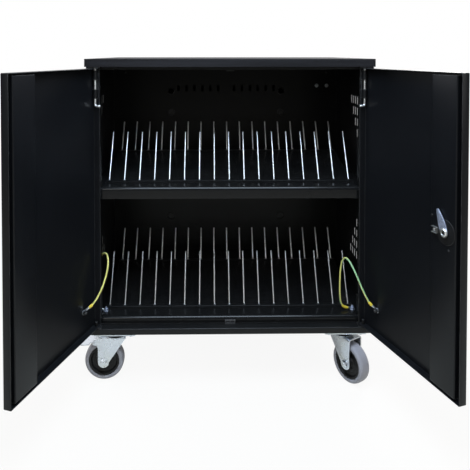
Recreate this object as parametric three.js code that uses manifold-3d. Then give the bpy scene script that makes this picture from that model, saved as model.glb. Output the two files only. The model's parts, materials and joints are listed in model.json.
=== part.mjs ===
// A two-door charging cart for portable computers: a folded steel cabinet on four casters, with two levels of
// wire dividers in front of a partition and a power compartment behind it.
// Millimetres, Z up, X to the right, Y from the doors to the rear. The doors stand open, as for loading.
import * as THREE from 'three';
import { mergeVertices } from 'three/addons/utils/BufferGeometryUtils.js';
import Module from 'manifold-3d';

// Cabinet shell
const cabinetWidth = 724;
const cabinetDepth = 500;
const cabinetTop = 808;
const sheet = 1.5;
const seatGap = 0.2;
const lidOverhang = 6;
const lidThickness = 20;
const lidCornerRadius = 8;

// Base and front frame
const baseHeight = 16;
const ledgeDepth = 26.5;
const ledgeFlange = 50;
const hemDepth = 14;
const postWidth = 29;
const postReturn = 18;
const topRailHeight = 7;
const keeperTabWidth = 20;
const keeperTabDrop = 4;
const strikeWidth = 27;
const strikeHeight = 11;
const strikeThickness = 2.5;

// Floor, shelf and sloped trays
const floorRise = 18;
const bayHeight = 336.5;
const shelfLip = 30;
const shelfRearLip = 20;
const foldRadius = 9;
const trayFront = 72;
const trayFoot = 22;
const trayRise = 45;
const trayLedge = 100;
const traySideGap = 3;

// Divider racks
const rodPitch = 40;
const rodRadius = 2;
const rackStripWidth = 14;
const rackStripThickness = 2.5;
const rodRoot = 1;
const frontRodSetback = 10.7;
const frontRodLean = 68.6;
const frontRodHeight = 125;
const rearRodSetback = 10;
const rearRodLean = 49;
const rearRodHeight = 129.5;

// Partition and rear compartment
const compartmentDepth = 120;
const cableSlotCount = 6;
const cableSlotPitch = 25.5;
const cableSlotWidth = 8;
const cableSlotHeight = 19;
const cableHoleRadius = 10;
const cableHoleX = 177;
const upperCableDrop = 87.5;
const lowerCableDrop = 114.5;
const cableHoleDrop = 68;
const stripEndGap = 53;
const stripHeight = 48;
const stripDepth = 40;
const socketPitch = 70;
const socketRadius = 20;
const socketDepth = 3;
const stripRise = 120;
const inletInset = 112;
const inletRise = 86;
const inletWidth = 48;
const inletHeight = 30;
const inletDepth = 28;
const inletFlange = 8;
const inletFlangeThickness = 3;
const inletWall = 5;
const rearVentCount = 10;
const rearVentLength = 70;
const rearVentWidth = 6;
const rearVentPitch = 14;
const rearVentX = 180;
const rearVentDrop = 60;

// Vent slots of the side panels, in stepped groups
const ventSteps = 4;
const ventHeight = 24.5;
const ventWidth = 6;
const ventClip = 2;
const ventPitchY = 21;
const ventPitchZ = 30.5;
const ventFrontY = 148;
const upperVentDrop = 86;
const lowerVentDrop = 120.5;

// Doors
const doorThickness = 18;
const doorGap = 3.5;
const meetingGap = 3;
const hingeInset = 21;
const hingeEdge = 8;
const openAngle = THREE.MathUtils.degToRad(108);
const stiffenerWidth = 72;
const stiffenerInset = 13.5;
const stiffenerDepth = 15;
const stiffenerEndGap = 6;

// Hinge hardware
const pinRadius = 3;
const pinClearance = 0.3;
const pinBelowBracket = 19;
const pinEntry = 6;
const pinEntryGap = 2;
const pinHandle = 15;
const bracketDrop = 18.5;
const bracketHeight = 58;
const barrelHeight = 23;
const lugHeight = 11;
const bracketReach = 6;
const hingePlateWidth = 26;
const hingePlateDepth = 24;
const hingePlateSetback = 1;
const hingePlateThickness = 2.5;
const pivotPlateThickness = 2;
const pivotRadius = 4;
const pivotRise = 16;

// Lock of the right door
const lockInset = 42.5;
const lockRise = 332.5;
const dishRadius = 26;
const dishFlange = 4;
const dishFlangeThickness = 2;
const dishWall = 3;
const spindleRadius = 6;
const ridgeWidth = 11;
const ridgeHeight = 3.5;
const camLength = 48;
const camWidth = 18;
const camTipWidth = 7;
const camThickness = 3;
const nutRadius = 8;
const nutThickness = 2.7;
const camLean = THREE.MathUtils.degToRad(25);

// Earth leads
const leadRadius = 2.2;
const leadSteps = 30;
const studRadius = 3;
const studNutRadius = 5.4;
const washerRadius = 7;
const washerThickness = 2;
const nutHeight = 5;
const studHeight = 11;
const studInset = 7;
const studSetback = 12;
const doorStudReach = 50;
const doorStudRise = 57.5;

// Casters
const casterHeight = 128;
const wheelClearance = 8;
const tyreWidth = 32;
const tyreThickness = 11;
const tyreSeatStep = 1;
const tyreCrown = 4;
const tyreShoulder = 5;
const hubWidth = 30;
const hubBoss = 9;
const hubDraft = 3;
const hubRecess = 8;
const hubRim = 4;
const hubRimStep = 1;
const casterTrail = 31;
const casterInsetX = 68;
const casterInsetY = 38;
const plateLength = 105;
const plateWidth = 72;
const plateThickness = 3;
const plateBoltRadius = 6;
const plateBoltInset = 12;
const plateBoltHeight = 5;
const raceRadius = 26;
const raceHeight = 7.5;
const headRadius = 31;
const headHeight = 9;
const headChamfer = 3;
const forkSheet = 3;
const forkGap = 3.5;
const forkCrown = 3.5;
const crownStep = 1;
const forkTopHalf = 26;
const forkFootRadius = 14;
const axleRadius = 6;
const axleNutRadius = 9;
const axleNutWidth = 6;
const pedalPivotX = 54;
const pedalPivotDrop = 8.5;
const pedalPinRadius = 2.5;
const pedalEar = 5;
const earFillet = 10;
const pedalThickness = 3;
const pedalHeel = 6;
const pedalReach = 94;
const pedalHeelRise = 2.6;
const pedalDrop = 2;
const pedalWidth = 54;
const pedalWideFrom = 66;
const pedalLip = 8;
const pedalLipRise = 3;
const pedalArmGap = 1.5;
const pedalPinEnd = 2;
const runGap = 0.3;

// Facets of the round shapes, and how far a cutting tool or a joined shape runs past the face it meets
const hexSides = 6;
const wireSides = 8;
const boltSides = 10;
const pinSides = 12;
const hubSides = 20;
const dishSides = 24;
const tyreSides = 32;
const arcSegments = 6;
const weldDistance = 1e-4;
const runPast = 1;

// Places worked out from the driving dimensions
const halfWidth = cabinetWidth / 2;
const innerHalf = halfWidth - sheet;
const openingHalf = halfWidth - postWidth;
const trayHalf = openingHalf - traySideGap;
const baseTop = casterHeight + baseHeight;
const floorTop = baseTop + floorRise;
const shelfTop = floorTop + bayHeight;
const partitionY = cabinetDepth - compartmentDepth;
const trayLedgeStart = partitionY - trayLedge;
const frameFoot = baseTop + seatGap;
const frameHead = cabinetTop - seatGap;
const doorFoot = baseTop + doorGap;
const doorHead = cabinetTop - doorGap;
const hingeX = halfWidth - hingeInset;
const hingeY = doorThickness / 2;
const pinBore = pinRadius + pinClearance;
const doorReach = hingeX - meetingGap / 2;
const skinInside = sheet - doorThickness / 2;
const doorTip = hingeY - doorReach * Math.sin(openAngle) + (doorThickness / 2) * Math.cos(openAngle);
const originY = (doorTip + cabinetDepth + lidOverhang) / 2;

const wasm = await Module();
wasm.setup();

const cart = new THREE.Group();
cart.position.y = -originY;

// A geometry with shared corners merged, flat triangles dropped and its faces turned outwards.
function closed(geometry) {
  const bare = geometry.clone();
  bare.deleteAttribute('normal');
  bare.deleteAttribute('uv');
  const merged = mergeVertices(bare, weldDistance);
  const place = merged.attributes.position;
  const corners = [0, 1, 2].map(() => new THREE.Vector3());
  const kept = [];
  let volume = 0;
  for (let i = 0; i < merged.index.count; i += 3) {
    const ids = [0, 1, 2].map((k) => merged.index.getX(i + k));
    if (new Set(ids).size < 3) continue;
    ids.forEach((id, k) => corners[k].fromBufferAttribute(place, id));
    volume += corners[0].dot(corners[1].clone().cross(corners[2]));
    kept.push(ids);
  }
  const turned = kept.map(([a, b, c]) => (volume < 0 ? [a, c, b] : [a, b, c]));
  merged.setIndex(turned.flat());
  return merged;
}

function toSolid(geometry) {
  const shape = closed(geometry);
  const vertProperties = new Float32Array(shape.attributes.position.array);
  const triVerts = new Uint32Array(shape.index.array);
  return new wasm.Manifold(new wasm.Mesh({ numProp: 3, vertProperties, triVerts }));
}

function toGeometry(solid) {
  const mesh = solid.getMesh();
  const geometry = new THREE.BufferGeometry();
  geometry.setAttribute('position', new THREE.BufferAttribute(mesh.vertProperties, 3));
  geometry.setIndex(new THREE.BufferAttribute(mesh.triVerts, 1));
  return geometry;
}

function joined(first, ...others) {
  return toGeometry(others.reduce((solid, other) => solid.add(toSolid(other)), toSolid(first)));
}

function cut(first, ...tools) {
  return toGeometry(tools.reduce((solid, tool) => solid.subtract(toSolid(tool)), toSolid(first)));
}

function box(x, y, z) {
  const geometry = new THREE.BoxGeometry(x[1] - x[0], y[1] - y[0], z[1] - z[0]);
  return geometry.translate((x[0] + x[1]) / 2, (y[0] + y[1]) / 2, (z[0] + z[1]) / 2);
}

function outline(points) {
  return new THREE.Shape(points.map(([u, v]) => new THREE.Vector2(u, v)));
}

function prism(shape, length, u, v, w, start) {
  const settings = { depth: length, bevelEnabled: false, curveSegments: arcSegments };
  const basis = new THREE.Matrix4().makeBasis(u, v, w).setPosition(w.clone().multiplyScalar(start));
  return new THREE.ExtrudeGeometry(shape, settings).applyMatrix4(basis);
}

const axisX = new THREE.Vector3(1, 0, 0);
const axisY = new THREE.Vector3(0, 1, 0);
const axisZ = new THREE.Vector3(0, 0, 1);
const minusY = new THREE.Vector3(0, -1, 0);

// Prisms of an outline in the plane across X (y, z), Y (x, z) or Z (x, y), between two stations.
const prismX = (shape, [from, to]) => prism(shape, to - from, axisY, axisZ, axisX, from);
const prismY = (shape, [from, to]) => prism(shape, to - from, axisX, axisZ, minusY, -to);
const prismZ = (shape, [from, to]) => prism(shape, to - from, axisX, axisY, axisZ, from);

function rod(from, to, radius, sides) {
  const start = new THREE.Vector3(...from);
  const run = new THREE.Vector3(...to).sub(start);
  const turn = new THREE.Quaternion().setFromUnitVectors(axisY, run.clone().normalize());
  const geometry = new THREE.CylinderGeometry(radius, radius, run.length(), sides);
  return geometry.translate(0, run.length() / 2, 0).applyQuaternion(turn).translate(...from);
}

// A body of revolution about Z; the profile is a list of [radius, height].
function lathe(profile, sides) {
  const points = profile.map(([radius, height]) => new THREE.Vector2(radius, height));
  return closed(new THREE.LatheGeometry(points, sides).rotateX(Math.PI / 2));
}

// An upright slot with clipped corners, for the vents.
function slotOutline(centre, foot, head) {
  const clip = ventClip;
  const half = ventWidth / 2;
  return outline([
    [centre - half, foot + clip],
    [centre - half + clip, foot],
    [centre + half - clip, foot],
    [centre + half, foot + clip],
    [centre + half, head - clip],
    [centre + half - clip, head],
    [centre - half + clip, head],
    [centre - half, head - clip],
  ]);
}

function finish(color, roughness, metalness) {
  return new THREE.MeshStandardMaterial({ color, roughness, metalness });
}

const blackPaint = () => finish(0x17181a, 0.35, 0.2);
const darkBoard = () => finish(0x24262c, 0.5, 0.0);
const zinc = () => finish(0xb9bcc0, 0.3, 0.9);
const chrome = () => finish(0xe2e4e6, 0.12, 1.0);
const blackPlastic = () => finish(0x101112, 0.45, 0.0);
const greyRubber = () => finish(0x77797c, 0.7, 0.0);
const earthGreen = () => finish(0x4f8f3a, 0.5, 0.0);

function piece(parent, name, geometry, material) {
  const mesh = new THREE.Mesh(geometry, material);
  mesh.name = name;
  parent.add(mesh);
  return mesh;
}

const sides = [
  ['left', -1],
  ['right', 1],
];

// Span from a to b on the given side of the middle plane, in rising order.
const across = (side, a, b) => (side > 0 ? [a, b] : [-b, -a]);

function lidGeometry() {
  const half = halfWidth + lidOverhang;
  const rear = cabinetDepth + lidOverhang;
  const r = lidCornerRadius;
  const shape = new THREE.Shape();
  shape.moveTo(-half + r, 0);
  shape.lineTo(half - r, 0);
  shape.absarc(half - r, r, r, -Math.PI / 2, 0);
  shape.lineTo(half, rear - r);
  shape.absarc(half - r, rear - r, r, 0, Math.PI / 2);
  shape.lineTo(-half + r, rear);
  shape.absarc(-half + r, rear - r, r, Math.PI / 2, Math.PI);
  shape.lineTo(-half, r);
  shape.absarc(-half + r, r, r, Math.PI, Math.PI * 1.5);
  const pockets = sides.map(([, side]) => rod(
    [side * hingeX, hingeY, cabinetTop - runPast],
    [side * hingeX, hingeY, cabinetTop + pinEntry + pinEntryGap],
    pinBore,
    pinSides,
  ));
  return cut(prismZ(shape, [cabinetTop, cabinetTop + lidThickness]), ...pockets);
}

// Stepped groups of slots: the front column is full, and the rows shorten towards the shelf between them.
function ventTools(side) {
  const tools = [];
  const span = across(side, innerHalf - sheet - runPast, halfWidth + runPast);
  const upperTop = cabinetTop - upperVentDrop;
  const lowerTop = shelfTop - lowerVentDrop;
  for (let row = 0; row < ventSteps; row += 1) {
    for (let column = 0; column < ventSteps - row; column += 1) {
      const y = ventFrontY + column * ventPitchY;
      const upper = upperTop - row * ventPitchZ;
      const lower = lowerTop - (ventSteps - 1 - row) * ventPitchZ;
      tools.push(prismX(slotOutline(y, upper - ventHeight, upper), span));
      tools.push(prismX(slotOutline(y, lower - ventHeight, lower), span));
    }
  }
  return tools;
}

function sidePanelGeometry(side) {
  const hemInside = innerHalf - sheet;
  const skin = outline([
    [side * halfWidth, 0],
    [side * halfWidth, cabinetDepth],
    [side * innerHalf, cabinetDepth],
    [side * innerHalf, hemDepth],
    [side * hemInside, hemDepth],
    [side * hemInside, 0],
  ]);
  return cut(prismZ(skin, [frameFoot, frameHead]), ...ventTools(side));
}

function postGeometry(side) {
  const outer = innerHalf - seatGap;
  const profile = outline([
    [side * openingHalf, ledgeDepth],
    [side * outer, ledgeDepth],
    [side * outer, ledgeDepth + sheet],
    [side * (openingHalf + sheet), ledgeDepth + sheet],
    [side * (openingHalf + sheet), ledgeDepth + postReturn],
    [side * openingHalf, ledgeDepth + postReturn],
  ]);
  return prismZ(profile, [frameFoot, frameHead]);
}

function topRailGeometry() {
  const half = openingHalf - seatGap;
  const foot = cabinetTop - topRailHeight;
  const profile = outline([
    [ledgeDepth, foot],
    [ledgeDepth + postReturn, foot],
    [ledgeDepth + postReturn, foot + sheet],
    [ledgeDepth + sheet, foot + sheet],
    [ledgeDepth + sheet, frameHead],
    [ledgeDepth, frameHead],
  ]);
  const tabHalf = keeperTabWidth / 2;
  const tabHeight = [foot - keeperTabDrop, foot + runPast];
  const tab = box([-tabHalf, tabHalf], [ledgeDepth, ledgeDepth + sheet], tabHeight);
  return joined(prismX(profile, [-half, half]), tab);
}

// An open pan; the flange along its front is the ledge below the doors.
function basePanGeometry() {
  const body = box([-halfWidth, halfWidth], [0, cabinetDepth], [casterHeight, baseTop]);
  const inside = [-innerHalf, innerHalf];
  const rear = cabinetDepth - sheet;
  const floorLevel = casterHeight + sheet;
  const underLedge = box(inside, [sheet, rear], [floorLevel, baseTop - sheet]);
  const mouth = box(inside, [ledgeFlange, rear], [floorLevel, baseTop + runPast]);
  return cut(body, underLedge, mouth);
}

// A sheet folded down along its front and rear edges, notched at the front posts.
function foldedShelfGeometry(top, frontLip, rearLip, rear) {
  const shape = new THREE.Shape();
  const outer = foldRadius;
  const inner = foldRadius - sheet;
  const front = ledgeDepth;
  shape.moveTo(front, top - frontLip);
  shape.lineTo(front, top - outer);
  shape.absarc(front + outer, top - outer, outer, Math.PI, Math.PI / 2, true);
  shape.lineTo(rear - outer, top);
  shape.absarc(rear - outer, top - outer, outer, Math.PI / 2, 0, true);
  shape.lineTo(rear, top - rearLip);
  shape.lineTo(rear - sheet, top - rearLip);
  shape.lineTo(rear - sheet, top - outer);
  shape.absarc(rear - outer, top - outer, inner, 0, Math.PI / 2, false);
  shape.lineTo(front + outer, top - sheet);
  shape.absarc(front + outer, top - outer, inner, Math.PI / 2, Math.PI, false);
  shape.lineTo(front + sheet, top - frontLip);
  const half = innerHalf - seatGap;
  const notches = sides.map(([, side]) => box(
    across(side, openingHalf - seatGap, innerHalf + runPast),
    [0, ledgeDepth + postReturn + seatGap],
    [top - frontLip - runPast, top + runPast],
  ));
  return cut(prismX(shape, [-half, half]), ...notches);
}

// A sheet that rises from a flat foot at the front to a ledge that meets the partition.
function trayGeometry(level) {
  const foot = level + seatGap;
  const rise = level + trayRise;
  const rear = partitionY - seatGap;
  const slopeStart = trayFront + trayFoot;
  const profile = outline([
    [trayFront, foot],
    [slopeStart, foot],
    [trayLedgeStart, rise - sheet],
    [rear, rise - sheet],
    [rear, rise],
    [trayLedgeStart, rise],
    [slopeStart, foot + sheet],
    [trayFront, foot + sheet],
  ]);
  return prismX(profile, [-trayHalf, trayHalf]);
}

// A flat strip with the divider rods welded to it, as many on each side of the middle rod as fit.
function rackGeometry(level, seat, y, lean, height) {
  const stripTop = seat + seatGap + rackStripThickness;
  const strip = box(
    [-trayHalf, trayHalf],
    [y - rackStripWidth / 2, y + rackStripWidth / 2],
    [seat + seatGap, stripTop],
  );
  const rodsPerSide = Math.floor((trayHalf - rodRadius) / rodPitch);
  const rods = [];
  for (let i = -rodsPerSide; i <= rodsPerSide; i += 1) {
    const x = i * rodPitch;
    rods.push(rod([x, y, stripTop - rodRoot], [x, y + lean, level + height], rodRadius, wireSides));
  }
  return joined(strip, ...rods);
}

function partitionGeometry() {
  const half = innerHalf - seatGap;
  const through = [partitionY - runPast, partitionY + sheet + runPast];
  const tools = [];
  for (const row of [shelfTop - lowerCableDrop, cabinetTop - upperCableDrop]) {
    for (const [, side] of sides) {
      for (let i = 0; i < cableSlotCount; i += 1) {
        const x = side * (i + 1) * cableSlotPitch;
        const slot = [x - cableSlotWidth / 2, x + cableSlotWidth / 2];
        tools.push(box(slot, through, [row, row + cableSlotHeight]));
      }
      for (const drop of [0, cableHoleDrop]) {
        const z = row - drop;
        const x = side * cableHoleX;
        tools.push(rod([x, through[0], z], [x, through[1], z], cableHoleRadius, pinSides));
      }
    }
  }
  const plate = box([-half, half], [partitionY, partitionY + sheet], [floorTop + seatGap, frameHead]);
  return cut(plate, ...tools);
}

const inletX = halfWidth - inletInset;
const inletZ = baseTop + inletRise;

function rearPanelGeometry() {
  const half = innerHalf - seatGap;
  const front = cabinetDepth - sheet;
  const through = [front - runPast, cabinetDepth + runPast];
  const hole = box(
    [inletX - inletWidth / 2 - seatGap, inletX + inletWidth / 2 + seatGap],
    through,
    [inletZ - inletHeight / 2 - seatGap, inletZ + inletHeight / 2 + seatGap],
  );
  const tools = [hole];
  for (const [, side] of sides) {
    for (let i = 0; i < rearVentCount; i += 1) {
      const z = cabinetTop - rearVentDrop - i * rearVentPitch;
      const x = [side * rearVentX - rearVentLength / 2, side * rearVentX + rearVentLength / 2];
      tools.push(box(x, through, [z - rearVentWidth / 2, z + rearVentWidth / 2]));
    }
  }
  return cut(box([-half, half], [front, cabinetDepth], [frameFoot, frameHead]), ...tools);
}

function socketStripGeometry(level) {
  const front = partitionY + sheet + seatGap;
  const rear = front + stripDepth;
  const z = level + stripRise;
  const half = openingHalf - stripEndGap;
  const body = box([-half, half], [front, rear], [z, z + stripHeight]);
  const socketCount = Math.floor((2 * half) / socketPitch);
  const sockets = [];
  for (let i = 0; i < socketCount; i += 1) {
    const x = (i - (socketCount - 1) / 2) * socketPitch;
    const middle = z + stripHeight / 2;
    sockets.push(rod([x, rear - socketDepth, middle], [x, rear + runPast, middle], socketRadius, boltSides));
  }
  return cut(body, ...sockets);
}

function inletGeometry() {
  const around = (margin) => [
    [inletX - inletWidth / 2 - margin, inletX + inletWidth / 2 + margin],
    [inletZ - inletHeight / 2 - margin, inletZ + inletHeight / 2 + margin],
  ];
  const face = cabinetDepth + seatGap;
  const rear = face + inletFlangeThickness;
  const [bodyX, bodyZ] = around(0);
  const [flangeX, flangeZ] = around(inletFlange);
  const [holeX, holeZ] = around(-inletWall);
  const body = box(bodyX, [cabinetDepth - inletDepth, rear], bodyZ);
  const flange = box(flangeX, [face, rear], flangeZ);
  const hole = box(holeX, [cabinetDepth - inletDepth + inletWall, rear + runPast], holeZ);
  return cut(joined(body, flange), hole);
}

function topHingePlateGeometry(side) {
  const x = across(side, hingeX - hingePlateWidth / 2, hingeX + hingePlateWidth / 2);
  const y = [hingePlateSetback, hingePlateSetback + hingePlateDepth];
  const plate = box(x, y, [frameHead - hingePlateThickness, frameHead]);
  const centre = side * hingeX;
  const hole = rod(
    [centre, hingeY, frameHead - hingePlateThickness - runPast],
    [centre, hingeY, frameHead + runPast],
    pinBore,
    pinSides,
  );
  return cut(plate, hole);
}

function bottomPivotGeometry(side) {
  const x = across(side, hingeX - hingePlateWidth / 2, hingeX + hingePlateWidth / 2);
  const y = [hingePlateSetback, hingePlateSetback + hingePlateDepth];
  const plate = box(x, y, [frameFoot, frameFoot + pivotPlateThickness]);
  const centre = side * hingeX;
  const root = frameFoot + pivotPlateThickness / 2;
  const pin = rod([centre, hingeY, root], [centre, hingeY, frameFoot + pivotRise], pivotRadius, pinSides);
  return joined(plate, pin);
}

// Doors are drawn shut about their hinge axis: reach runs from the axis to the free edge, y to the inside.
function doorBox(side, reach, y, z) {
  return box(across(-side, reach[0], reach[1]), y, z);
}

function doorPanGeometry(side, lockHole) {
  const half = doorThickness / 2;
  const pan = doorBox(side, [-hingeEdge, doorReach], [-half, half], [doorFoot, doorHead]);
  const pocket = doorBox(
    side,
    [-hingeEdge + sheet, doorReach - sheet],
    [skinInside, half + runPast],
    [doorFoot + sheet, doorHead - sheet],
  );
  const pinHole = rod([0, 0, doorHead - sheet - runPast], [0, 0, doorHead + runPast], pinBore, pinSides);
  const pivotHole = rod(
    [0, 0, doorFoot - runPast],
    [0, 0, doorFoot + sheet + runPast],
    pivotRadius + pinClearance,
    pinSides,
  );
  return cut(pan, pocket, pinHole, pivotHole, ...lockHole);
}

// A channel with its open side against the door skin.
function stiffenerGeometry(side, lockHole) {
  const outer = doorReach - sheet - stiffenerInset;
  const reach = [outer - stiffenerWidth, outer];
  const back = skinInside + seatGap;
  const face = back + stiffenerDepth;
  const z = [doorFoot + stiffenerEndGap, doorHead - stiffenerEndGap];
  const body = doorBox(side, reach, [back, face], z);
  const hollow = doorBox(
    side,
    [reach[0] + sheet, reach[1] - sheet],
    [back - runPast, face - sheet],
    [z[0] - runPast, z[1] + runPast],
  );
  return cut(body, hollow, ...lockHole);
}

const bracketTop = doorHead - bracketDrop;
const bracketFoot = bracketTop - bracketHeight;

function pinBracketGeometry(side) {
  const wall = -hingeEdge + sheet + seatGap;
  const depth = [-bracketReach, bracketReach];
  const web = doorBox(side, [wall, wall + sheet], depth, [bracketFoot, bracketTop]);
  const barrel = doorBox(side, [wall, bracketReach], depth, [bracketFoot, bracketFoot + barrelHeight]);
  const lug = doorBox(side, [wall, bracketReach], depth, [bracketTop - lugHeight, bracketTop]);
  const bore = rod([0, 0, bracketFoot - runPast], [0, 0, bracketTop + runPast], pinBore, pinSides);
  return cut(joined(web, barrel, lug), bore);
}

function hingePinGeometry() {
  const foot = bracketFoot - pinBelowBracket;
  const stem = rod([0, 0, foot - pinRadius], [0, 0, cabinetTop + pinEntry], pinRadius, pinSides);
  const handle = rod([0, 0, foot], [0, pinHandle, foot], pinRadius, boltSides);
  return joined(stem, handle);
}

function strikePlateGeometry() {
  const rear = ledgeDepth - seatGap;
  return box(
    [-strikeWidth / 2, strikeWidth / 2],
    [rear - strikeThickness, rear],
    [frameFoot, frameFoot + strikeHeight],
  );
}

// Shapes of the lock are turned about a line through the door; local z runs to the inside of the door.
function acrossDoor(geometry) {
  const turn = new THREE.Matrix4().makeBasis(axisX, axisZ.clone().negate(), axisY);
  return geometry.applyMatrix4(turn).translate(lockInset - doorReach, 0, doorFoot + lockRise);
}

function lockHoleTool() {
  const reach = doorThickness;
  return acrossDoor(rod([0, 0, -reach], [0, 0, reach], dishRadius + seatGap, dishSides));
}

const lockFace = -doorThickness / 2 - seatGap;
const dishFloor = skinInside + seatGap + stiffenerDepth - dishWall / 2;

function lockDishGeometry() {
  const lip = dishRadius + dishFlange;
  const bottom = dishFloor + dishWall;
  const hole = spindleRadius + runGap;
  return acrossDoor(lathe([
    [hole, dishFloor],
    [dishRadius - dishWall, dishFloor],
    [dishRadius - dishWall, lockFace - dishFlangeThickness],
    [lip, lockFace - dishFlangeThickness],
    [lip, lockFace],
    [dishRadius, lockFace],
    [dishRadius, bottom],
    [hole, bottom],
    [hole, dishFloor],
  ], dishSides));
}

// A round turning knob with a grip ridge, on a spindle that runs through the floor of the dish.
function lockHandleGeometry() {
  const outer = lockFace - dishFlangeThickness;
  const inner = dishFloor - runGap;
  const knobRadius = dishRadius - dishWall - runGap;
  const half = ridgeWidth / 2;
  const run = Math.sqrt(knobRadius ** 2 - half ** 2) - runGap;
  const spindleEnd = dishFloor + dishWall + runGap;
  const ridge = box([-half, half], [-run, run], [outer, outer + ridgeHeight + runPast]);
  const knob = rod([0, 0, outer + ridgeHeight], [0, 0, inner], knobRadius, dishSides);
  const spindle = rod([0, 0, inner - runPast], [0, 0, spindleEnd], spindleRadius, pinSides);
  return acrossDoor(joined(knob, ridge, spindle).rotateZ(camLean));
}

// A pointed blade held on the spindle by a six-sided nut.
function lockCamGeometry() {
  const back = dishFloor + dishWall + 2 * runGap;
  const face = back + camThickness;
  const shape = new THREE.Shape();
  shape.moveTo(-camTipWidth / 2, -camLength);
  shape.lineTo(camTipWidth / 2, -camLength);
  shape.absarc(0, 0, camWidth / 2, 0, Math.PI);
  const blade = prismZ(shape, [back, face]);
  const nut = rod([0, 0, face - runPast], [0, 0, face + nutThickness], nutRadius, hexSides);
  return acrossDoor(joined(blade, nut).rotateZ(camLean));
}

// Earth studs stand on a washer; the lead's eye sits under the nut.
function studProfile() {
  return [
    [0, 0],
    [washerRadius, 0],
    [washerRadius, washerThickness],
    [studNutRadius, washerThickness],
    [studNutRadius, washerThickness + nutHeight],
    [studRadius, washerThickness + nutHeight],
    [studRadius, studHeight],
    [0, studHeight],
  ];
}

function cabinetStudGeometry(side) {
  const x = openingHalf - studInset;
  return lathe(studProfile(), boltSides).translate(side * x, trayFront - studSetback, floorTop + seatGap);
}

function doorStudGeometry(side) {
  const stud = lathe(studProfile(), boltSides).rotateX(-Math.PI / 2);
  return stud.translate(-side * doorStudReach, skinInside + seatGap, doorFoot + doorStudRise);
}

// Each lead loops up from the stud on the floor and drops to the stud on the open door; X counts outwards.
const leadRoutes = {
  left: [
    [333.4, 59.4, 167.2],
    [338, 58.6, 168.6],
    [344, 57, 180],
    [348.5, 55.5, 212],
    [350, 55, 246],
    [347, 56, 280],
    [339, 54, 307],
    [329, 47, 320],
    [319, 36, 322],
    [313, 22, 311],
    [313, 8, 290],
    [319, -6, 264],
    [330, -19, 238],
    [343, -27.5, 220],
    [356.9, -33.2, 210.6],
  ],
  right: [
    [318.6, 59.6, 167.2],
    [311, 58.8, 167.8],
    [302, 57.4, 171.5],
    [295, 55.8, 182],
    [292, 54.3, 200],
    [291, 52.5, 225],
    [290.8, 50, 252],
    [291.5, 45.5, 280],
    [294, 37, 302],
    [298.5, 25, 313],
    [304, 12, 311],
    [311, -1, 298],
    [319, -12, 279],
    [328, -20.5, 256],
    [337, -26.5, 236],
    [346, -30.5, 220],
    [356.9, -33.2, 210.6],
  ],
};

function leadGeometry(name, side) {
  const route = leadRoutes[name].map(([x, y, z]) => new THREE.Vector3(side * x, y, z));
  const ring = [];
  for (let i = 0; i < wireSides; i += 1) {
    const angle = (i / wireSides) * 2 * Math.PI;
    ring.push([leadRadius * Math.cos(angle), leadRadius * Math.sin(angle)]);
  }
  const extrudePath = new THREE.CatmullRomCurve3(route, false, 'centripetal');
  return closed(new THREE.ExtrudeGeometry(outline(ring), { steps: leadSteps, extrudePath }));
}

function casterPlateGeometry() {
  const head = casterHeight - seatGap;
  const foot = head - plateThickness;
  const x = plateLength / 2;
  const y = plateWidth / 2;
  const plate = box([-x, x], [-y, y], [foot, head]);
  const race = rod([0, 0, foot - raceHeight], [0, 0, foot + runPast], raceRadius, hubSides);
  const bolts = [];
  for (const sx of [-1, 1]) {
    for (const sy of [-1, 1]) {
      const place = [sx * (x - plateBoltInset), sy * (y - plateBoltInset)];
      const span = [foot - plateBoltHeight, foot + runPast];
      bolts.push(rod([...place, span[0]], [...place, span[1]], plateBoltRadius, hexSides));
    }
  }
  return joined(plate, race, ...bolts);
}

const headTop = casterHeight - seatGap - plateThickness - raceHeight - runGap;
const headFoot = headTop - headHeight;
const wheelRadius = (headFoot - wheelClearance) / 2;
const forkInside = tyreWidth / 2 + forkGap;
const forkOutside = forkInside + forkSheet;
const pedalPivotZ = headFoot - pedalPivotDrop;

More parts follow.
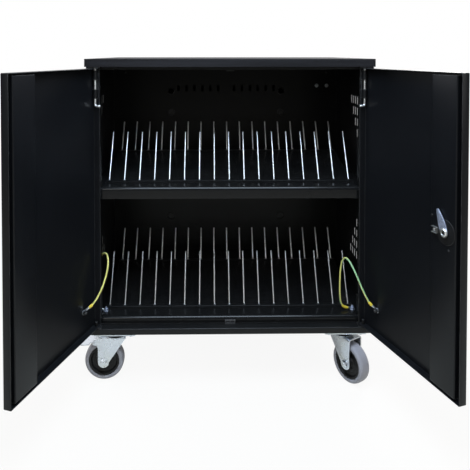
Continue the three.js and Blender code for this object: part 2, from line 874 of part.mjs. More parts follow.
// Two cheeks joined by a crown round the swivel head, with the axle bolted across them.
function forkGeometry(braked) {
  const cheek = new THREE.Shape();
  const crownTop = headTop - crownStep;
  const crownFoot = crownTop - forkCrown;
  const rear = casterTrail + forkFootRadius;
  cheek.moveTo(-forkTopHalf, crownTop);
  cheek.lineTo(-forkTopHalf, crownFoot);
  cheek.lineTo(casterTrail - forkFootRadius, wheelRadius);
  cheek.absarc(casterTrail, wheelRadius, forkFootRadius, Math.PI, Math.PI * 2);
  if (braked) {
    const underEar = pedalPivotZ - pedalEar;
    cheek.absarc(rear + earFillet, underEar - earFillet, earFillet, Math.PI, Math.PI / 2, true);
    cheek.lineTo(pedalPivotX + pedalEar, underEar);
    cheek.lineTo(pedalPivotX + pedalEar, pedalPivotZ + pedalEar);
  }
  cheek.lineTo(rear, crownTop);
  const crown = box([-forkTopHalf, rear], [-forkOutside, forkOutside], [crownFoot, crownTop]);
  const head = lathe([
    [0, headFoot],
    [headRadius - headChamfer, headFoot],
    [headRadius, headFoot + headChamfer],
    [headRadius, headTop - headChamfer],
    [headRadius - headChamfer, headTop],
    [0, headTop],
  ], hubSides);
  const nutEnd = forkOutside + axleNutWidth;
  const nutRoot = forkOutside - runPast;
  const onAxleLine = (y) => [casterTrail, y, wheelRadius];
  const parts = [
    prismY(cheek, [forkInside, forkOutside]),
    prismY(cheek, [-forkOutside, -forkInside]),
    head,
    rod(onAxleLine(-forkOutside), onAxleLine(forkOutside), axleRadius, pinSides),
    rod(onAxleLine(nutRoot), onAxleLine(nutEnd), axleNutRadius, hexSides),
    rod(onAxleLine(-nutRoot), onAxleLine(-nutEnd), axleNutRadius, hexSides),
  ];
  const fork = joined(crown, ...parts);
  if (!braked) return fork;
  const pivot = rod(
    [pedalPivotX, -nutEnd, pedalPivotZ],
    [pedalPivotX, nutEnd, pedalPivotZ],
    pedalPinRadius + runGap,
    boltSides,
  );
  return cut(fork, pivot);
}

// A lathe profile about Z laid on the axle line of the wheel.
function onAxle(geometry) {
  return geometry.rotateX(Math.PI / 2).translate(casterTrail, 0, wheelRadius);
}

function hubGeometry() {
  const rim = wheelRadius - tyreThickness - seatGap;
  const half = hubWidth / 2;
  const bore = axleRadius + runGap;
  const boss = bore + hubBoss;
  const web = half - hubRecess;
  const side = [
    [bore, half],
    [boss, half],
    [boss + hubDraft, web],
    [rim - hubRim - hubDraft, web],
    [rim - hubRim, half - hubRimStep],
    [rim, half - hubRimStep],
  ];
  const other = side.map(([r, y]) => [r, -y]).reverse();
  return onAxle(lathe([...side, ...other, side[0]], hubSides));
}

// The flats of the faceted tread lie at the wheel's radius, so that one of them stands on the floor.
function tyreGeometry() {
  const flat = Math.cos(Math.PI / tyreSides);
  const tread = wheelRadius / flat;
  const seat = (wheelRadius - tyreThickness) / flat;
  const half = tyreWidth / 2;
  const side = [
    [seat, half - tyreSeatStep],
    [tread - tyreCrown, half],
    [tread, half - tyreShoulder],
  ];
  const other = side.map(([r, y]) => [r, -y]).reverse();
  const ring = lathe([...side, ...other, side[0]], tyreSides).rotateZ(Math.PI / tyreSides);
  return onAxle(ring);
}

// A bent lever on its own pin between the cheeks; its wide end is pressed by the foot.
function pedalGeometry() {
  const t = pedalThickness / 2;
  const bend = pedalReach - pedalLip;
  const tip = pedalPivotZ - pedalDrop;
  const level = (x) => pedalPivotZ - (pedalDrop * (x - pedalPivotX)) / (bend - pedalPivotX);
  const heel = pedalPivotX - pedalHeel;
  const arm = prismY(outline([
    [heel, pedalPivotZ + pedalHeelRise - t],
    [pedalPivotX, pedalPivotZ - t],
    [bend, tip - t],
    [bend, tip + t],
    [pedalPivotX, pedalPivotZ + t],
    [heel, pedalPivotZ + pedalHeelRise + t],
  ]), [pedalArmGap - forkInside, forkInside - pedalArmGap]);
  const plate = prismY(outline([
    [pedalWideFrom, level(pedalWideFrom) - t],
    [bend, tip - t],
    [pedalReach, tip + pedalLipRise - t],
    [pedalReach, tip + pedalLipRise + t],
    [bend, tip + t],
    [pedalWideFrom, level(pedalWideFrom) + t],
  ]), [-pedalWidth / 2, pedalWidth / 2]);
  const pin = rod(
    [pedalPivotX, -forkOutside - pedalPinEnd, pedalPivotZ],
    [pedalPivotX, forkOutside + pedalPinEnd, pedalPivotZ],
    pedalPinRadius,
    boltSides,
  );
  return joined(arm, plate, pin);
}

// Cabinet
piece(cart, 'lid', lidGeometry(), darkBoard());
piece(cart, 'base_pan', basePanGeometry(), blackPaint());
piece(cart, 'top_rail', topRailGeometry(), blackPaint());
const floorLip = floorTop - frameFoot;
const floorRear = cabinetDepth - sheet - seatGap;
piece(cart, 'lower_floor', foldedShelfGeometry(floorTop, floorLip, floorLip, floorRear), blackPaint());
const shelfRear = partitionY - seatGap;
piece(cart, 'upper_shelf', foldedShelfGeometry(shelfTop, shelfLip, shelfRearLip, shelfRear), blackPaint());
piece(cart, 'partition', partitionGeometry(), blackPaint());
piece(cart, 'rear_panel', rearPanelGeometry(), blackPaint());
piece(cart, 'power_inlet', inletGeometry(), blackPlastic());
piece(cart, 'strike_plate', strikePlateGeometry(), blackPaint());

const frontRodY = trayFront + frontRodSetback;
const rearRodY = trayLedgeStart + rearRodSetback;
for (const [level, top] of [['lower', floorTop], ['upper', shelfTop]]) {
  const frontSeat = top + seatGap + sheet;
  const rearSeat = top + trayRise;
  piece(cart, `${level}_tray`, trayGeometry(top), blackPaint());
  piece(cart, `${level}_front_rack`,
    rackGeometry(top, frontSeat, frontRodY, frontRodLean, frontRodHeight), chrome());
  piece(cart, `${level}_rear_rack`,
    rackGeometry(top, rearSeat, rearRodY, rearRodLean, rearRodHeight), chrome());
  piece(cart, `${level}_socket_strip`, socketStripGeometry(top), blackPlastic());
}

for (const [name, side] of sides) {
  piece(cart, `${name}_side_panel`, sidePanelGeometry(side), blackPaint());
  piece(cart, `${name}_front_post`, postGeometry(side), blackPaint());
  piece(cart, `${name}_top_hinge_plate`, topHingePlateGeometry(side), blackPaint());
  piece(cart, `${name}_bottom_pivot`, bottomPivotGeometry(side), zinc());
  piece(cart, `${name}_earth_stud`, cabinetStudGeometry(side), zinc());
  piece(cart, `${name}_earth_lead`, leadGeometry(name, side), earthGreen());
}

// Doors, each in a group turned open about its hinge axis
for (const [name, side] of sides) {
  const door = new THREE.Group();
  door.position.set(side * hingeX, hingeY, 0);
  door.rotation.z = side * openAngle;
  cart.add(door);
  const lockHole = side > 0 ? [lockHoleTool()] : [];
  piece(door, `${name}_door_pan`, doorPanGeometry(side, lockHole), blackPaint());
  piece(door, `${name}_door_stiffener`, stiffenerGeometry(side, lockHole), blackPaint());
  piece(door, `${name}_pin_bracket`, pinBracketGeometry(side), zinc());
  piece(door, `${name}_hinge_pin`, hingePinGeometry(), chrome());
  piece(door, `${name}_door_stud`, doorStudGeometry(side), zinc());
  if (side > 0) {
    piece(door, 'lock_dish', lockDishGeometry(), blackPlastic());
    piece(door, 'lock_handle', lockHandleGeometry(), chrome());
    piece(door, 'lock_cam', lockCamGeometry(), chrome());
  }
}

// Casters: place, the way the wheel trails, and whether it has a brake
const rearCasterY = cabinetDepth - casterInsetY;
const casterX = halfWidth - casterInsetX;
const casters = [
  ['front_left', -1, casterInsetY, 180, true],
  ['front_right', 1, casterInsetY, -57, false],
  ['rear_left', -1, rearCasterY, 205, false],
  ['rear_right', 1, rearCasterY, -25, true],
];
for (const [name, side, y, trailAngle, braked] of casters) {
  const caster = new THREE.Group();
  caster.position.set(side * casterX, y, 0);
  cart.add(caster);
  const swivel = new THREE.Group();
  swivel.rotation.z = THREE.MathUtils.degToRad(trailAngle);
  caster.add(swivel);
  piece(caster, `${name}_caster_plate`, casterPlateGeometry(), zinc());
  piece(swivel, `${name}_fork`, forkGeometry(braked), zinc());
  piece(swivel, `${name}_hub`, hubGeometry(), blackPlastic());
  piece(swivel, `${name}_tyre`, tyreGeometry(), greyRubber());
  if (braked) piece(swivel, `${name}_brake_pedal`, pedalGeometry(), zinc());
}

export default cart;
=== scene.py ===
import json
import math

import bmesh
import bpy
import numpy as np
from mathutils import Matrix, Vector


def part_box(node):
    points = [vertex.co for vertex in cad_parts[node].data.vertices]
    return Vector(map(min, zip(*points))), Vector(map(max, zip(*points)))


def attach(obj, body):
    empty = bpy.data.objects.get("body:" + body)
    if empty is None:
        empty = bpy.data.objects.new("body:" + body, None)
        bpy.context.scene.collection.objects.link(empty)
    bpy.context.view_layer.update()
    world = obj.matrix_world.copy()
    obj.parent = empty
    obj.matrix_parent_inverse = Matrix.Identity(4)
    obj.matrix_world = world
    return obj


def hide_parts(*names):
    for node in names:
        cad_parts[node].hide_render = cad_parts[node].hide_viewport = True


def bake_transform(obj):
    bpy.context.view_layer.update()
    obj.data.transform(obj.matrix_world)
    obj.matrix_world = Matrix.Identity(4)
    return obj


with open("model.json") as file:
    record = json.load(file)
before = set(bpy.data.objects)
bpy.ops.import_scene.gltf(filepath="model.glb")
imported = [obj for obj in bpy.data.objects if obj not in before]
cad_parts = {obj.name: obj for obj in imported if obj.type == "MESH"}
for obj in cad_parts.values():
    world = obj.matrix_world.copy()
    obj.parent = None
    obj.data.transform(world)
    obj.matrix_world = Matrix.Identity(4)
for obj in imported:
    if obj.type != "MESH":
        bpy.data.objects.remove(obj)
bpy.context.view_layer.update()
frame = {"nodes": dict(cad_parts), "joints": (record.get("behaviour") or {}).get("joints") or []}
nodes = frame["nodes"]


# The cabinet: folded 1.5 mm steel panels, spot-welded and powder-coated semi-gloss black.
# The coat has a fine orange peel and rubs thin along the folds, where its paler grey is also a painted
# highlight; the base is a pan with a ledge in front.
class Tone:
    """A socket of a material's node tree. Arithmetic with tones and numbers adds Math nodes."""

    def __init__(self, tree, socket):
        self.tree = tree
        self.socket = socket

    def node(self, kind, settings, values, out=0):
        """Adds a node: its settings first, then a number, a colour or a tone for each socket."""
        made = self.tree.nodes.new("ShaderNode" + kind)
        for key, value in settings.items():
            setattr(made, key, value)
        for key, value in values.items():
            if isinstance(value, Tone):
                self.tree.links.new(value.socket, made.inputs[key])
            else:
                made.inputs[key].default_value = value
        return Tone(self.tree, made.outputs[out])

    def maths(self, operation, *values):
        return self.node("Math", {"operation": operation}, dict(enumerate(values)))

    def __add__(self, other):
        return self.maths("ADD", self, other)

    def __sub__(self, other):
        return self.maths("SUBTRACT", self, other)

    def __rsub__(self, other):
        return self.maths("SUBTRACT", other, self)

    def __mul__(self, other):
        return self.maths("MULTIPLY", self, other)

    __radd__ = __add__
    __rmul__ = __mul__

    def noise(self, scale, detail=2.0, stretch=(1.0, 1.0, 1.0)):
        """Cloudy noise over the object, finer with scale and drawn out where stretch is small."""
        place = self.node("VectorMath", {"operation": "MULTIPLY"}, {0: self, 1: stretch})
        return self.node("TexNoise", {}, {"Vector": place, "Scale": scale, "Detail": detail})

    def ramp(self, low, high):
        """Zero below low, one above high, with a smooth step between."""
        values = {"Value": self, "From Min": low, "From Max": high}
        return self.node("MapRange", {"interpolation_type": "SMOOTHSTEP"}, values)

    def mix(self, first, second):
        """The first colour where the tone is zero, the second where it is one."""
        settings = {"data_type": "RGBA", "clamp_factor": True}
        return self.node("Mix", settings, {0: self, 6: first, 7: second}, 2)

    def bump(self, strength, distance):
        return self.node("Bump", {}, {"Height": self, "Strength": strength, "Distance": distance})

    def edges(self, radius):
        """How far the surface rolls over an edge within that radius: zero on flats, rising to one."""
        rolled = self.node("Bevel", {"samples": 6}, {"Radius": radius})
        plain = self.node("NewGeometry", {}, {}, "Normal")
        along = self.node("VectorMath", {"operation": "DOT_PRODUCT"}, {0: rolled, 1: plain}, "Value")
        return (1 - along).ramp(0.01, 0.2)

    def upward(self):
        """One where the surface faces the ceiling, zero on walls and undersides."""
        facing = self.node("NewGeometry", {}, {}, "Normal")
        return self.node("SeparateXYZ", {}, {0: facing}, "Z").ramp(0.6, 1.0)


def material(name, constants, recipe, coordinates="Object"):
    """A shader with constant sockets, and a recipe that turns coordinates into the sockets that vary."""
    made = bpy.data.materials.new(name)
    made.use_nodes = True
    tree = made.node_tree
    shader = tree.nodes["Principled BSDF"]
    for key, value in constants.items():
        shader.inputs[key].default_value = value
    place = Tone(tree, tree.nodes.new("ShaderNodeTexCoord").outputs[coordinates])
    for key, tone in recipe(place).items():
        tree.links.new(tone.socket, shader.inputs[key])
    return made


def black_coat(shine, peel, wear_and_highlight, deep, pale):
    """Black powder coat: roughness about shine, orange peel as high as peel, clouded from deep to pale.

    Along the folds and edges the coat turns towards grey by the wear share: partly rubbed-thin coat, partly a
    painted highlight line.
    """

    def recipe(place):
        cloud = place.noise(7.0, 3.0)
        grain = place.noise(900.0, 2.0)
        wipe = place.noise(16.0, 4.0, (1.0, 1.0, 0.25))
        # Grey along the edges: partly rubbed coat, partly a painted highlight line along folds and rims.
        rubbed_and_highlit_edges = place.edges(0.0018) * place.noise(60.0, 4.0).ramp(0.2, 0.65)
        dust = place.upward() * place.noise(14.0, 6.0).ramp(0.3, 0.9)
        coat = cloud.mix((*deep, 1), (*pale, 1))
        coat = (rubbed_and_highlit_edges * wear_and_highlight).mix(coat, (0.15, 0.152, 0.156, 1))
        coat = (dust * 0.06).mix(coat, (0.07, 0.068, 0.062, 1))
        rough = shine + 0.10 * (wipe - 0.5) + 0.04 * (grain - 0.5) + 0.05 * dust
        return {"Base Color": coat, "Roughness": rough, "Normal": grain.bump(peel, 0.0002)}

    return recipe


shell_tones = (0.0042, 0.0044, 0.0048), (0.0064, 0.0067, 0.0072)
# The partition and front posts get a darker copy of the same coat: painted shade for the inside of the
# cabinet.
shaded_inner_tones = (0.0020, 0.0021, 0.0022), (0.0032, 0.0033, 0.0034)
panel_coat = material("panel_coat", {"Specular IOR Level": 0.24}, black_coat(0.36, 0.08, 0.85, *shell_tones))
shaded_inner_coat = material("shaded_inner_coat", {"Specular IOR Level": 0.14}, black_coat(0.34, 0.05, 0.5, *shaded_inner_tones))


def dress(names, finish, width, segments=2):
    """Gives carried-over CAD nodes their finish and rolls their sharp edges over by width."""
    for name in names:
        node = nodes[name]
        node.material_slots[0].material = finish
        weld = node.modifiers.new("weld", "WELD")
        weld.merge_threshold = 1e-5
        roll = node.modifiers.new("roll", "BEVEL")
        roll.width = width
        roll.segments = segments
        roll.limit_method = "ANGLE"
        roll.angle_limit = math.radians(28)


sides = ("left", "right")
dress(["rear_panel"], panel_coat, 0.0004)
dress(["top_rail", "strike_plate"], panel_coat, 0.0007)
dress(["partition"], shaded_inner_coat, 0.0004)
dress([f"{side}_side_panel" for side in sides], panel_coat, 0.0004)
dress([f"{side}_front_post" for side in sides], shaded_inner_coat, 0.0006)
dress([f"{side}_top_hinge_plate" for side in sides], panel_coat, 0.0005)
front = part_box("base_pan")[0].y


def grid_faces(rows, columns, close_rows, close_columns):
    """Quads of a grid of points numbered row by row; a closed direction joins its last line to its first."""
    row = np.arange(rows if close_rows else rows - 1)[:, None]
    column = np.arange(columns if close_columns else columns - 1)[None, :]
    next_row = (row + 1) % rows
    next_column = (column + 1) % columns
    around = [(row, column), (row, next_column), (next_row, next_column), (next_row, column)]
    return np.stack([down * columns + across for down, across in around], axis=-1).reshape(-1, 4)


def piece(name, grids, finish, body=None, replaced=(), crease=35):
    """A mesh of grids of points in cabinet millimetres: each (points, rows closed, columns closed).

    Poles and seams are merged, faces turned outwards, and edges sharper than crease degrees kept sharp.
    """
    counts = [points.shape[0] * points.shape[1] for points, _, _ in grids]
    starts = np.cumsum([0] + counts[:-1])
    faces = [grid_faces(*points.shape[:2], *ends) + start for (points, *ends), start in zip(grids, starts)]
    places = np.concatenate([points.reshape(-1, 3) for points, _, _ in grids]) * 0.001 + (0, front, 0)
    mesh = bpy.data.meshes.new(name)
    mesh.from_pydata(places.tolist(), [], np.concatenate(faces).tolist())
    solid = bmesh.new()
    solid.from_mesh(mesh)
    bmesh.ops.remove_doubles(solid, verts=solid.verts, dist=1e-6)
    bmesh.ops.recalc_face_normals(solid, faces=solid.faces)
    solid.to_mesh(mesh)
    solid.free()
    mesh.shade_smooth()
    mesh.set_sharp_from_angle(angle=math.radians(crease))
    mesh.materials.append(finish)
    made = bpy.data.objects.new(name, mesh)
    bpy.context.scene.collection.objects.link(made)
    if body:
        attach(made, body)
    for node in replaced:
        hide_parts(node)
    return made


def rounded(corners, radius, steps=6):
    """An open line with rounded inner corners: an arc leaves its straights radius / tan(half angle) away."""
    corners = np.array(corners, float)
    line = [corners[:1]]
    for before, corner, after in zip(corners, corners[1:], corners[2:]):
        back = (before - corner) / np.linalg.norm(before - corner)
        on = (after - corner) / np.linalg.norm(after - corner)
        half = math.acos(np.clip(back @ on, -1, 1)) / 2
        centre = corner + (back + on) / np.linalg.norm(back + on) * radius / math.sin(half)
        start, end = (corner + way * radius / math.tan(half) - centre for way in (back, on))
        share = np.linspace(0, 1, steps + 1)[:, None]
        turn = math.pi - 2 * half
        arc = np.sin((1 - share) * turn) * start + np.sin(share * turn) * end
        line.append(centre + arc / math.sin(turn))
    line.append(corners[-1:])
    return np.concatenate(line)


def bent_sheet(outer, inner, span, axes):
    """A folded sheet: outer and inner lines (u, v) carried along w over the span; axes hold u, v and w."""
    lines = np.array([outer, outer, inner, inner])
    along = np.array([span[0], span[1], span[1], span[0]])[:, None, None]
    places = np.concatenate([lines, np.broadcast_to(along, lines.shape[:2] + (1,))], axis=2)
    places = places @ np.array(axes, float)
    rims = [places[[0, 1, 3, 2], end].reshape(2, 2, 3) for end in (0, -1)]
    return [(places, True, False)] + [(rim, False, False) for rim in rims]


def slab(outline, span, axes, edge=0.4):
    """A plate with its (u, v) outline between two stations of w, each rim drawn in by edge."""
    outline = np.array(outline, float)
    middle = outline.mean(axis=0)
    drawn = 1 - edge / np.linalg.norm(outline - middle, axis=1).min()
    low, high = span
    share = np.array([0, drawn, 1, 1, drawn, 0])[:, None, None]
    along = np.array([low, low, low + edge, high - edge, high, high])[:, None, None]
    flat = middle + share * (outline - middle)[None]
    places = np.concatenate([flat, np.broadcast_to(along, flat.shape[:2] + (1,))], axis=2)
    return (places @ np.array(axes, float), False, True)


along_x = [(0, 1, 0), (0, 0, 1), (1, 0, 0)]
along_z = [(1, 0, 0), (0, 1, 0), (0, 0, 1)]
gauge = 1.5
half_width, cabinet_depth = 362, 500
pan_foot, ledge_top, ledge_rear = 128, 144, 50
pan_fold = 2.5
pan_front, pan_rear = gauge, cabinet_depth - gauge
pan_outer = [(ledge_rear, ledge_top), (0, ledge_top), (0, pan_foot),
             (cabinet_depth, pan_foot), (cabinet_depth, ledge_top)]
pan_inner = [(ledge_rear, ledge_top - gauge), (pan_front, ledge_top - gauge), (pan_front, pan_foot + gauge),
             (pan_rear, pan_foot + gauge), (pan_rear, ledge_top)]
pan_outer = rounded(pan_outer, pan_fold)
pan_inner = rounded(pan_inner, pan_fold - gauge)
pan_half = half_width - gauge
pan_ends = (-half_width, -pan_half), (pan_half, half_width)
pan_walls = [slab(pan_outer, span, along_x, 0.3) for span in pan_ends]
piece(
    "base",
    bent_sheet(pan_outer, pan_inner, (-pan_half, pan_half), along_x) + pan_walls,
    panel_coat,
    "cabinet",
    ["base_pan"],
)


# The lid: a dark laminate board with a softly rolled edge, screwed down onto the cabinet.
# Its face has a faint lengthwise grain that shows as streaks along the front edge.
def lid_laminate(place):
    """Dark board with paler lengthwise streaks, which are a little rougher, and fine flecks."""
    streak = place.noise(30.0, 5.0, (0.12, 1.0, 3.0))
    fleck = place.noise(700.0, 2.0)
    board = streak.ramp(0.3, 0.75).mix((0.0052, 0.0053, 0.0068, 1), (0.0112, 0.0115, 0.0140, 1))
    board = (0.12 * fleck.ramp(0.55, 0.8)).mix(board, (0.12, 0.12, 0.13, 1))
    rough = 0.56 + 0.16 * (streak - 0.5)
    return {"Base Color": board, "Roughness": rough, "Normal": fleck.bump(0.12, 0.0002)}


laminate = material("lid_laminate", {"Specular IOR Level": 0.13}, lid_laminate)
dress(["lid"], laminate, 0.0022, 4)


# The floor, the shelf and the sloped trays: sheets folded down at the front over a wide radius.
# They have a glossier coat than the shell, so that the wires mirror in them; a narrow hem foots the riser.
tray_tones = (0.0048, 0.0050, 0.0053), (0.0068, 0.0071, 0.0075)
tray_coat = material("tray_coat", {"Specular IOR Level": 0.22}, black_coat(0.18, 0.03, 0.1, *tray_tones))
levels = {"lower": 162.0, "upper": 498.5}
riser_face, wing_front = 26.5, 44.7
post_inner, wall_inner = 332.8, 360.3
between_posts = (-post_inner, post_inner)
behind_posts = (-wall_inner, -post_inner), (post_inner, wall_inner)
shelf_fold = 9.0
for node, top, lip, rear_lip, rear in (
    ("lower_floor", levels["lower"], 17.8, 17.8, 498.3),
    ("upper_shelf", levels["upper"], 30.0, 20.0, 379.8),
):
    under, inner_face, inner_rear = top - gauge, riser_face + gauge, rear - gauge
    outer = [(riser_face, top - lip), (riser_face, top), (rear, top), (rear, top - rear_lip)]
    inner = [(inner_face, top - lip), (inner_face, under), (inner_rear, under), (inner_rear, top - rear_lip)]
    wing_outer = [(wing_front, top), *outer[2:]]
    wing_inner = [(wing_front, under), *inner[2:]]
    sheets = []
    for above, below, spans in ((outer, inner, [between_posts]), (wing_outer, wing_inner, behind_posts)):
        above = rounded(above, shelf_fold, 10)
        below = rounded(below, shelf_fold - gauge, 10)
        for span in spans:
            sheets += bent_sheet(above, below, span, along_x)
    if node == "lower_floor":
        hem = [(23.2, 144.3), (26.8, 144.3), (26.8, 145.5), (23.2, 145.5)]
        sheets.append(slab(hem, between_posts, along_x, 0.35))
    piece(f"{node}_sheet", sheets, tray_coat, "cabinet", [node])
tray_front, slope_foot, slope_head, tray_rear = 72, 94, 280, 379.8
tray_rise, tray_half, tray_fold = 43.3, 330, 6.0
for level, top in levels.items():
    low = top + 0.2
    high = low + tray_rise
    inner = np.array([(tray_front, low), (slope_foot, low), (slope_head, high), (tray_rear, high)])
    outer = inner + (0, gauge)
    sheets = bent_sheet(
        rounded(outer, tray_fold), rounded(inner, tray_fold), (-tray_half, tray_half), along_x,
    )
    piece(f"{level}_tray_sheet", sheets, tray_coat, "cabinet", [f"{level}_tray"])


# The divider racks: 4 mm bright-plated wires, each leaning back, welded at the foot to a flat strip.
# The strip lies on the tray and is coated a duller black; the wires' lightness differs from rack to rack as
# painted shade.
def turned(profile, count, centre, along, start=0.0):
    """A profile of (distance along the axis, radius) turned round an axis through centre."""
    along = np.array(along, float) / np.linalg.norm(along)
    helper = (0.0, 0.0, 1.0) if abs(along[2]) < 0.9 else (1.0, 0.0, 0.0)
    side = np.cross(helper, along)
    side /= np.linalg.norm(side)
    angle = start + 2 * np.pi * np.arange(count) / count
    ring = np.cos(angle)[:, None] * side + np.sin(angle)[:, None] * np.cross(along, side)
    distance, radius = np.array(profile, float).T
    return np.array(centre) + distance[:, None, None] * along + radius[:, None, None] * ring


def bright_wire(shade, shine):
    """Bright plating: its lightness shade, clouded by a few hundredths, and a roughness about shine."""

    def recipe(place):
        cloud = place.noise(18.0, 3.0)
        light = shade * (0.94 + 0.06 * cloud)
        plate = light.mix((0, 0, 0, 1), (0.99, 0.995, 1, 1))
        return {"Base Color": plate, "Roughness": shine + 0.08 * (cloud - 0.5)}

    return recipe


wire_pitch, wire_radius = 40, 2.0
wire_places = wire_pitch * np.arange(-8, 9)
strip_coat = material("strip_coat", {"Specular IOR Level": 0.10}, black_coat(0.30, 0.03, 0.0, *tray_tones))
# Each rack's wire lightness is painted shade: darkest on the lower front rack, lightest at the rear; the
# second number is roughness.
rack_shade_and_shine = {
    "lower_front": (0.45, 0.36),
    "lower_rear": (0.97, 0.55),
    "upper_front": (0.70, 0.36),
    "upper_rear": (0.97, 0.50),
}
for level, top in levels.items():
    for row, seat, y, lean, height in (("front", 1.7, 82.7, 68.6, 125), ("rear", 45, 290, 49, 129.5)):
        plating = bright_wire(*rack_shade_and_shine[f"{level}_{row}"])
        shaded_rack_chrome = material(f"{level}_{row}_plating", {"Metallic": 1.0}, plating)
        strip_top = top + seat + 2.7
        foot = np.array([0.0, y, strip_top])
        head = np.array([0.0, y + lean, top + height])
        length = np.linalg.norm(head - foot)
        dome = np.linspace(0, np.pi / 2, 6)
        weld = [(-0.8, 0.0), (-0.8, 4.2), (0.4, 3.3), (1.4, 2.5), (2.6, 2.1)]
        straight = [(4.0, wire_radius), (length / 2, wire_radius)]
        tip = np.stack([length - wire_radius * (1 - np.sin(dome)), wire_radius * np.cos(dome)], axis=1)
        wire = turned(np.concatenate([weld, straight, tip]), 16, foot, head - foot)
        piece(
            f"{level}_{row}_wires",
            [(wire + (x, 0, 0), False, True) for x in wire_places],
            shaded_rack_chrome,
            "cabinet",
            [f"{level}_{row}_rack"],
        )
        section = [(y - 7, strip_top - 2.5), (y + 7, strip_top - 2.5), (y + 7, strip_top - 0.6),
                   (y + 6.4, strip_top), (y - 6.4, strip_top), (y - 7, strip_top - 0.6)]
        strip = [slab(section, (-tray_half, tray_half), along_x)]
        piece(f"{level}_{row}_strip", strip, strip_coat, "cabinet")


# The power side: moulded socket strips behind the partition and the mains inlet in the rear panel.
# Black plastic with a fine spark-eroded skin; foam pads line the vents, and plugs close two spare holes.
def moulded_black(place):
    """Black plastic with a fine eroded skin, a little greyer along its edges."""
    skin = place.noise(1500.0, 1.0)
    cloud = place.noise(12.0, 3.0)
    body = cloud.mix((0.0045, 0.0045, 0.005, 1), (0.008, 0.008, 0.0085, 1))
    body = (place.edges(0.0015) * 0.35).mix(body, (0.05, 0.05, 0.052, 1))
    rough = 0.44 + 0.12 * (cloud - 0.5) + 0.10 * (skin - 0.5)
    return {"Base Color": body, "Roughness": rough, "Normal": skin.bump(0.15, 0.0002)}


def open_foam(place):
    """Dark foam of small cells, paler away from the middle of each."""
    cell = place.node("TexVoronoi", {}, {"Vector": place, "Scale": 700.0}, "Distance")
    foam = cell.ramp(0.1, 0.6).mix((0.003, 0.003, 0.003, 1), (0.016, 0.016, 0.016, 1))
    return {"Base Color": foam, "Normal": cell.bump(0.8, 0.001)}


def grey_moulding(place):
    """Plain grey plastic, faintly clouded."""
    cloud = place.noise(200.0, 3.0)
    skin = cloud.mix((0.30, 0.31, 0.33, 1), (0.38, 0.39, 0.41, 1))
    return {"Base Color": skin, "Roughness": 0.38 + 0.2 * (cloud - 0.5)}


black_moulding = material("black_moulding", {"Specular IOR Level": 0.28}, moulded_black)
foam = material("vent_foam", {"Roughness": 0.95, "Specular IOR Level": 0.1}, open_foam)
plug_grey = material("plug_grey", {}, grey_moulding)
dress([f"{level}_socket_strip" for level in levels], black_moulding, 0.0008)
dress(["power_inlet"], black_moulding, 0.0006)
signs = {"left": -1, "right": 1}
along_y = [(1, 0, 0), (0, 0, 1), (0, 1, 0)]
vent_middle, vent_half = 180, 42
vent_foot, vent_head = 610, 760
for side in sides:
    left = vent_middle * signs[side] - vent_half
    right = vent_middle * signs[side] + vent_half
    pad = [(left, vent_foot), (right, vent_foot), (right, vent_head), (left, vent_head)]
    piece(f"{side}_vent_pad", [slab(pad, (494.2, 498.2), along_y, 1.0)], foam, "cabinet")
partition_y = 380
grommet = [(-1.4, 8.4), (0.5, 8.6), (1.4, 9.6), (1.4, 11), (0.8, 12), (0, 12.2), (-1.4, 9.9)]
seats = [(x, partition_y, z) for x in (-177, 177) for z in (316, 384, 652.5, 720.5)]
grommets = [(turned(grommet, 24, seat, (0, -1, 0)), True, True) for seat in seats]
piece("cable_grommets", grommets, black_moulding, "cabinet")
plug_dome = [(0, 0), (0, 6.0), (1.2, 5.8), (2.0, 5.0), (2.4, 3.4), (2.5, 0)]
plugs = [(turned(plug_dome, 20, (x, partition_y, 738), (0, -1, 0)), False, True) for x in (292, 324)]
piece("hole_plugs", plugs, plug_grey, "cabinet")


# The doors: folded pans with a channel stiffener spot-welded inside the free edge.
# They carry the cabinet's coat tinted bluish, which is a painted sheen, with wide soft smears from hands and
# cleaning.
hinge_x, hinge_y = 341, 9
door_swing = math.radians(108)
door_middle = 165.75, 476
door_half = 173.75, 328.5


def on_door(side, places):
    """Open door's points (reach from the hinge line, depth to the inside, height), turned by its swing."""
    reach, depth, height = np.moveaxis(np.array(places, float), -1, 0)
    x = signs[side] * (hinge_x - reach * math.cos(door_swing) - depth * math.sin(door_swing))
    y = hinge_y - reach * math.sin(door_swing) + depth * math.cos(door_swing)
    return np.stack([x, y, height], axis=-1)


def frame_loop(inset, radius, steps=4):
    """Corner arcs of the door's outline drawn in by inset, each corner rounded to the radius."""
    angle = np.pi / 2 * (np.arange(4)[:, None] + np.linspace(0, 1, steps + 1)[None])
    sign_u = np.array([1, -1, -1, 1])[:, None]
    sign_v = np.array([1, 1, -1, -1])[:, None]
    u = door_middle[0] + sign_u * (door_half[0] - inset - radius) + radius * np.cos(angle)
    v = door_middle[1] + sign_v * (door_half[1] - inset - radius) + radius * np.sin(angle)
    return np.stack([u.ravel(), v.ravel()], axis=1)


